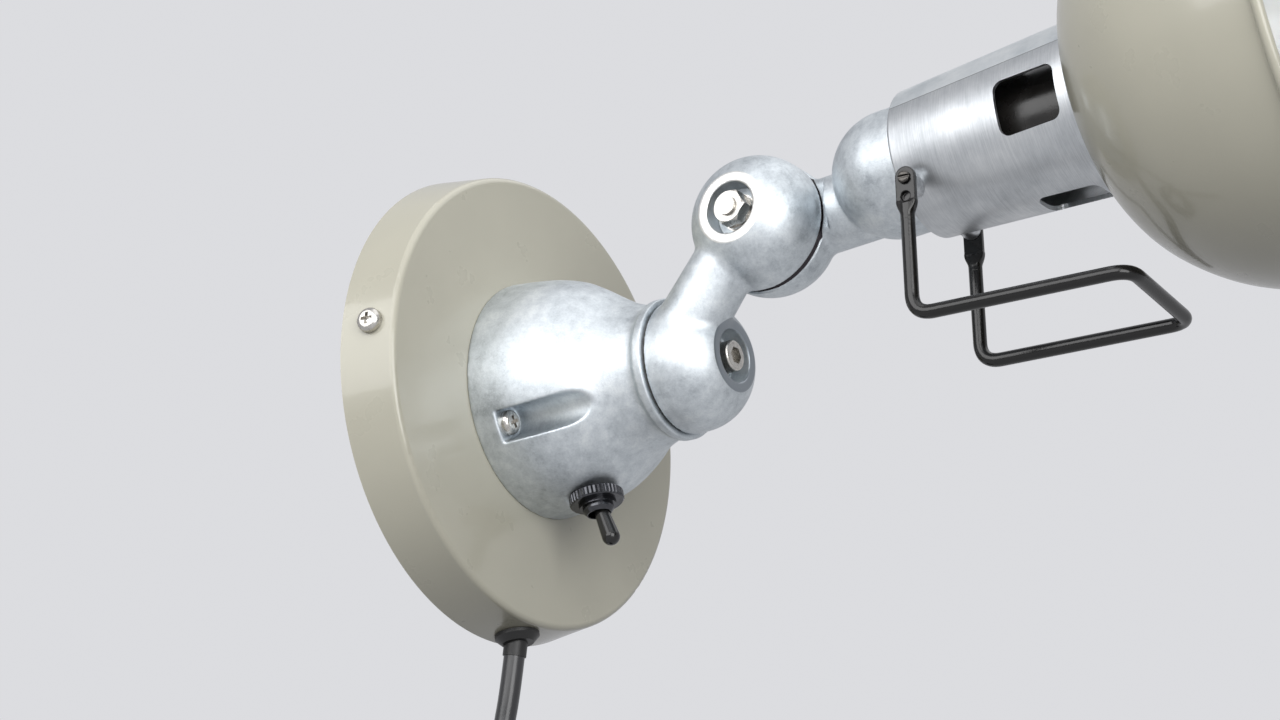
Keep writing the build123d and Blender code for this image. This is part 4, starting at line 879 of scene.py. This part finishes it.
dress(cast_metal("cast_arm", [
    (NEAR_AXIS, FACE_AT_BALL, BALL, BRIGHT_FACE),
    # Lower end face: painted shade, a darker copy of the turned colour.
    (OUT_AXIS, FACE_AT_BASE, Vector((0, 0, 0)), TURNED_FACE_PAINTED_SHADE),
]), arm_cast)
dress(cast_metal("cast_base"), base_cast)
dress(cast_metal(
    "cast_head",
    [(FAR_AXIS, FACE_AT_BALL, BALL, BRIGHT_FACE)],
    (FAR_AXIS, (HALF_SEAM + SHOULDER_WIDTH - SEAM_MARGIN) * MM, BALL),
), head_cast)
dress(turned_steel("turned_steel"), "lamp_sleeve", "shade_ring")
dress(enamel("cover_enamel", GREY_GREEN), "wall_cover")
bell_shade.data.materials.append(enamel("shade_outside", GREY_GREEN))
bell_shade.data.materials.append(enamel("shade_inside", (0.80, 0.80, 0.77), 0.35, 0.2))
dress(plated("bright_steel", (0.62, 0.60, 0.565), 0.2), "cover_screws", "casting_screws", "base_pivot_bolt",
      "base_head_washer", "ball_pivot_bolt", "ball_head_washer", "ball_nut_washer", "ball_spring_washer",
      "ball_pivot_nut", "terminal_screws", "clamp_screws", "plug_pins")
dress(plated("zinc_steel", (0.60, 0.62, 0.64), 0.35), "back_plate", "cover_brackets", "spacer_posts",
      "holder_plate", "holder_nipple", "switch_body", "base_web_washer", "base_spring_washer",
      "base_pivot_nut", "bulb_cap", "bulb_tip", "handle_spacers")
dress(plated("dark_nickel", (0.085, 0.087, 0.095), 0.13), "switch_bushing", "switch_knurled_nut")
dress(plated("brass", (0.70, 0.52, 0.22), 0.3), "holder_shell", "holder_contact", "switch_terminals")
dress(moulded("black_wire", (0.003, 0.0028, 0.0028), 0.16), handle_rod, *handle_eyes)
dress(plated("dark_screw", (0.09, 0.085, 0.08), 0.25), *handle_pins)
dress(moulded("black_lever", (0.006, 0.006, 0.006), 0.12, 900, 0.00002), "switch_lever")
dress(moulded("black_rubber", (0.010, 0.010, 0.010), 0.42), "cord_grommet", "coil_tie")
dress(moulded("black_sheath", (0.014, 0.014, 0.016), 0.34, coat=0.5), mains_flex, "inner_cord", "plug_body")
dress(moulded("dark_fibre", (0.03, 0.026, 0.022), 0.7), "base_friction_ring", "ball_friction_ring")
dress(moulded("black_holder", (0.012, 0.011, 0.010), 0.25), "lamp_holder")
dress(moulded("cream_block", (0.62, 0.58, 0.46), 0.5), "terminal_block", "cord_clamp")
dress(glass("opal_glass", (0.92, 0.92, 0.90)), "bulb_glass")

for node in NODES.values():
    node.data.shade_smooth()
    node.data.set_sharp_from_angle(angle=SHARP_ANGLE)

# ---------------------------------------------------------------- light, floor and background
# The camera and glass see the plain grey world, and rough and mirroring surfaces a dimmer one.
WORLD_GREY = (0.715, 0.720, 0.745)
ROOM_LEVEL = 0.44
ROOM_MIRRORED = 0.78
world = bpy.data.worlds.new("studio")
SCENE.world = world
world.use_nodes = True
tree = world.node_tree
tree.nodes.clear()
output = tree.nodes.new("ShaderNodeOutputWorld")
blend = tree.nodes.new("ShaderNodeMixShader")
paths = tree.nodes.new("ShaderNodeLightPath")
seen = tree.nodes.new("ShaderNodeBackground")
seen.inputs["Color"].default_value = (*WORLD_GREY, 1)
lit = tree.nodes.new("ShaderNodeBackground")
lit.inputs["Color"].default_value = (*WORLD_GREY, 1)
room = tree.nodes.new("ShaderNodeMapRange")
room.inputs["To Min"].default_value = ROOM_LEVEL
room.inputs["To Max"].default_value = ROOM_MIRRORED
tree.links.new(paths.outputs["Is Glossy Ray"], room.inputs["Value"])
tree.links.new(room.outputs["Result"], lit.inputs["Strength"])
either = tree.nodes.new("ShaderNodeMath")
either.operation = "MAXIMUM"
tree.links.new(paths.outputs["Is Camera Ray"], either.inputs[0])
tree.links.new(paths.outputs["Is Transmission Ray"], either.inputs[1])
tree.links.new(either.outputs["Value"], blend.inputs["Fac"])
tree.links.new(lit.outputs["Background"], blend.inputs[1])
tree.links.new(seen.outputs["Background"], blend.inputs[2])
tree.links.new(blend.outputs["Shader"], output.inputs["Surface"])


def softbox(name, place, aim, size, power):
    """Rectangular area light aimed at a point."""
    data = bpy.data.lights.new(name, "AREA")
    data.shape = "RECTANGLE"
    data.size, data.size_y = size
    data.energy = power
    obj = bpy.data.objects.new(name, data)
    obj.location = place
    obj.rotation_euler = (Vector(aim) - Vector(place)).to_track_quat("-Z", "Y").to_euler()
    SCENE.collection.objects.link(obj)


AIM = (0, -0.08, 0.02)
softbox("left_box", (-1.25, -0.05, 0.45), AIM, (1.6, 1.0), 14)
softbox("top_box", (0.0, -0.5, 1.15), AIM, (2.4, 1.3), 9)
softbox("front_box", (-0.75, -1.15, 0.1), AIM, (0.9, 0.9), 10)

# The floor looks pale and even to the camera, mirrors and glass, and dim to light that bounces.
FLOOR_Z = -0.42
FLOOR_HALF = 4
FLOOR_EVEN = 0.72
floor_data = bpy.data.meshes.new("floor")
corners = [(x * FLOOR_HALF, y * FLOOR_HALF, FLOOR_Z) for x, y in ((-1, -1), (1, -1), (1, 1), (-1, 1))]
floor_data.from_pydata(corners, [], [(0, 1, 2, 3)])
floor = bpy.data.objects.new("floor", floor_data)
SCENE.collection.objects.link(floor)
floor_paint = Paint("floor", roughness=0.8)
floor_paint.colour(floor_paint.ramp(floor_paint.noise(3), [
    (0.3, (0.55, 0.55, 0.56)), (0.7, (0.60, 0.60, 0.61)),
]))
floor_look = floor_paint.add("ShaderNodeLightPath")
dim = floor_paint.add("ShaderNodeBsdfDiffuse", Color=(0.2, 0.2, 0.2, 1))
even = floor_paint.add("ShaderNodeEmission", Color=(0.70, 0.705, 0.725, 1))
plain = floor_paint.add("ShaderNodeMixShader")
plain.inputs["Fac"].default_value = FLOOR_EVEN
floor_paint.link(floor_paint.shader.outputs["BSDF"], plain.inputs[1])
floor_paint.link(even.outputs["Emission"], plain.inputs[2])
floor_mix = floor_paint.add("ShaderNodeMixShader")
shown = floor_look.outputs["Is Camera Ray"]
for ray in ("Is Glossy Ray", "Is Transmission Ray"):
    shown = floor_paint.maths("MAXIMUM", shown, floor_look.outputs[ray])
floor_paint.link(shown, floor_mix.inputs["Fac"])
floor_paint.link(dim.outputs["BSDF"], floor_mix.inputs[1])
floor_paint.link(plain.outputs["Shader"], floor_mix.inputs[2])
floor_paint.link(floor_mix.outputs["Shader"], floor_paint.tree.nodes["Material Output"].inputs["Surface"])
floor_data.materials.append(floor_paint.material)

SCENE.view_settings.view_transform = "Standard"
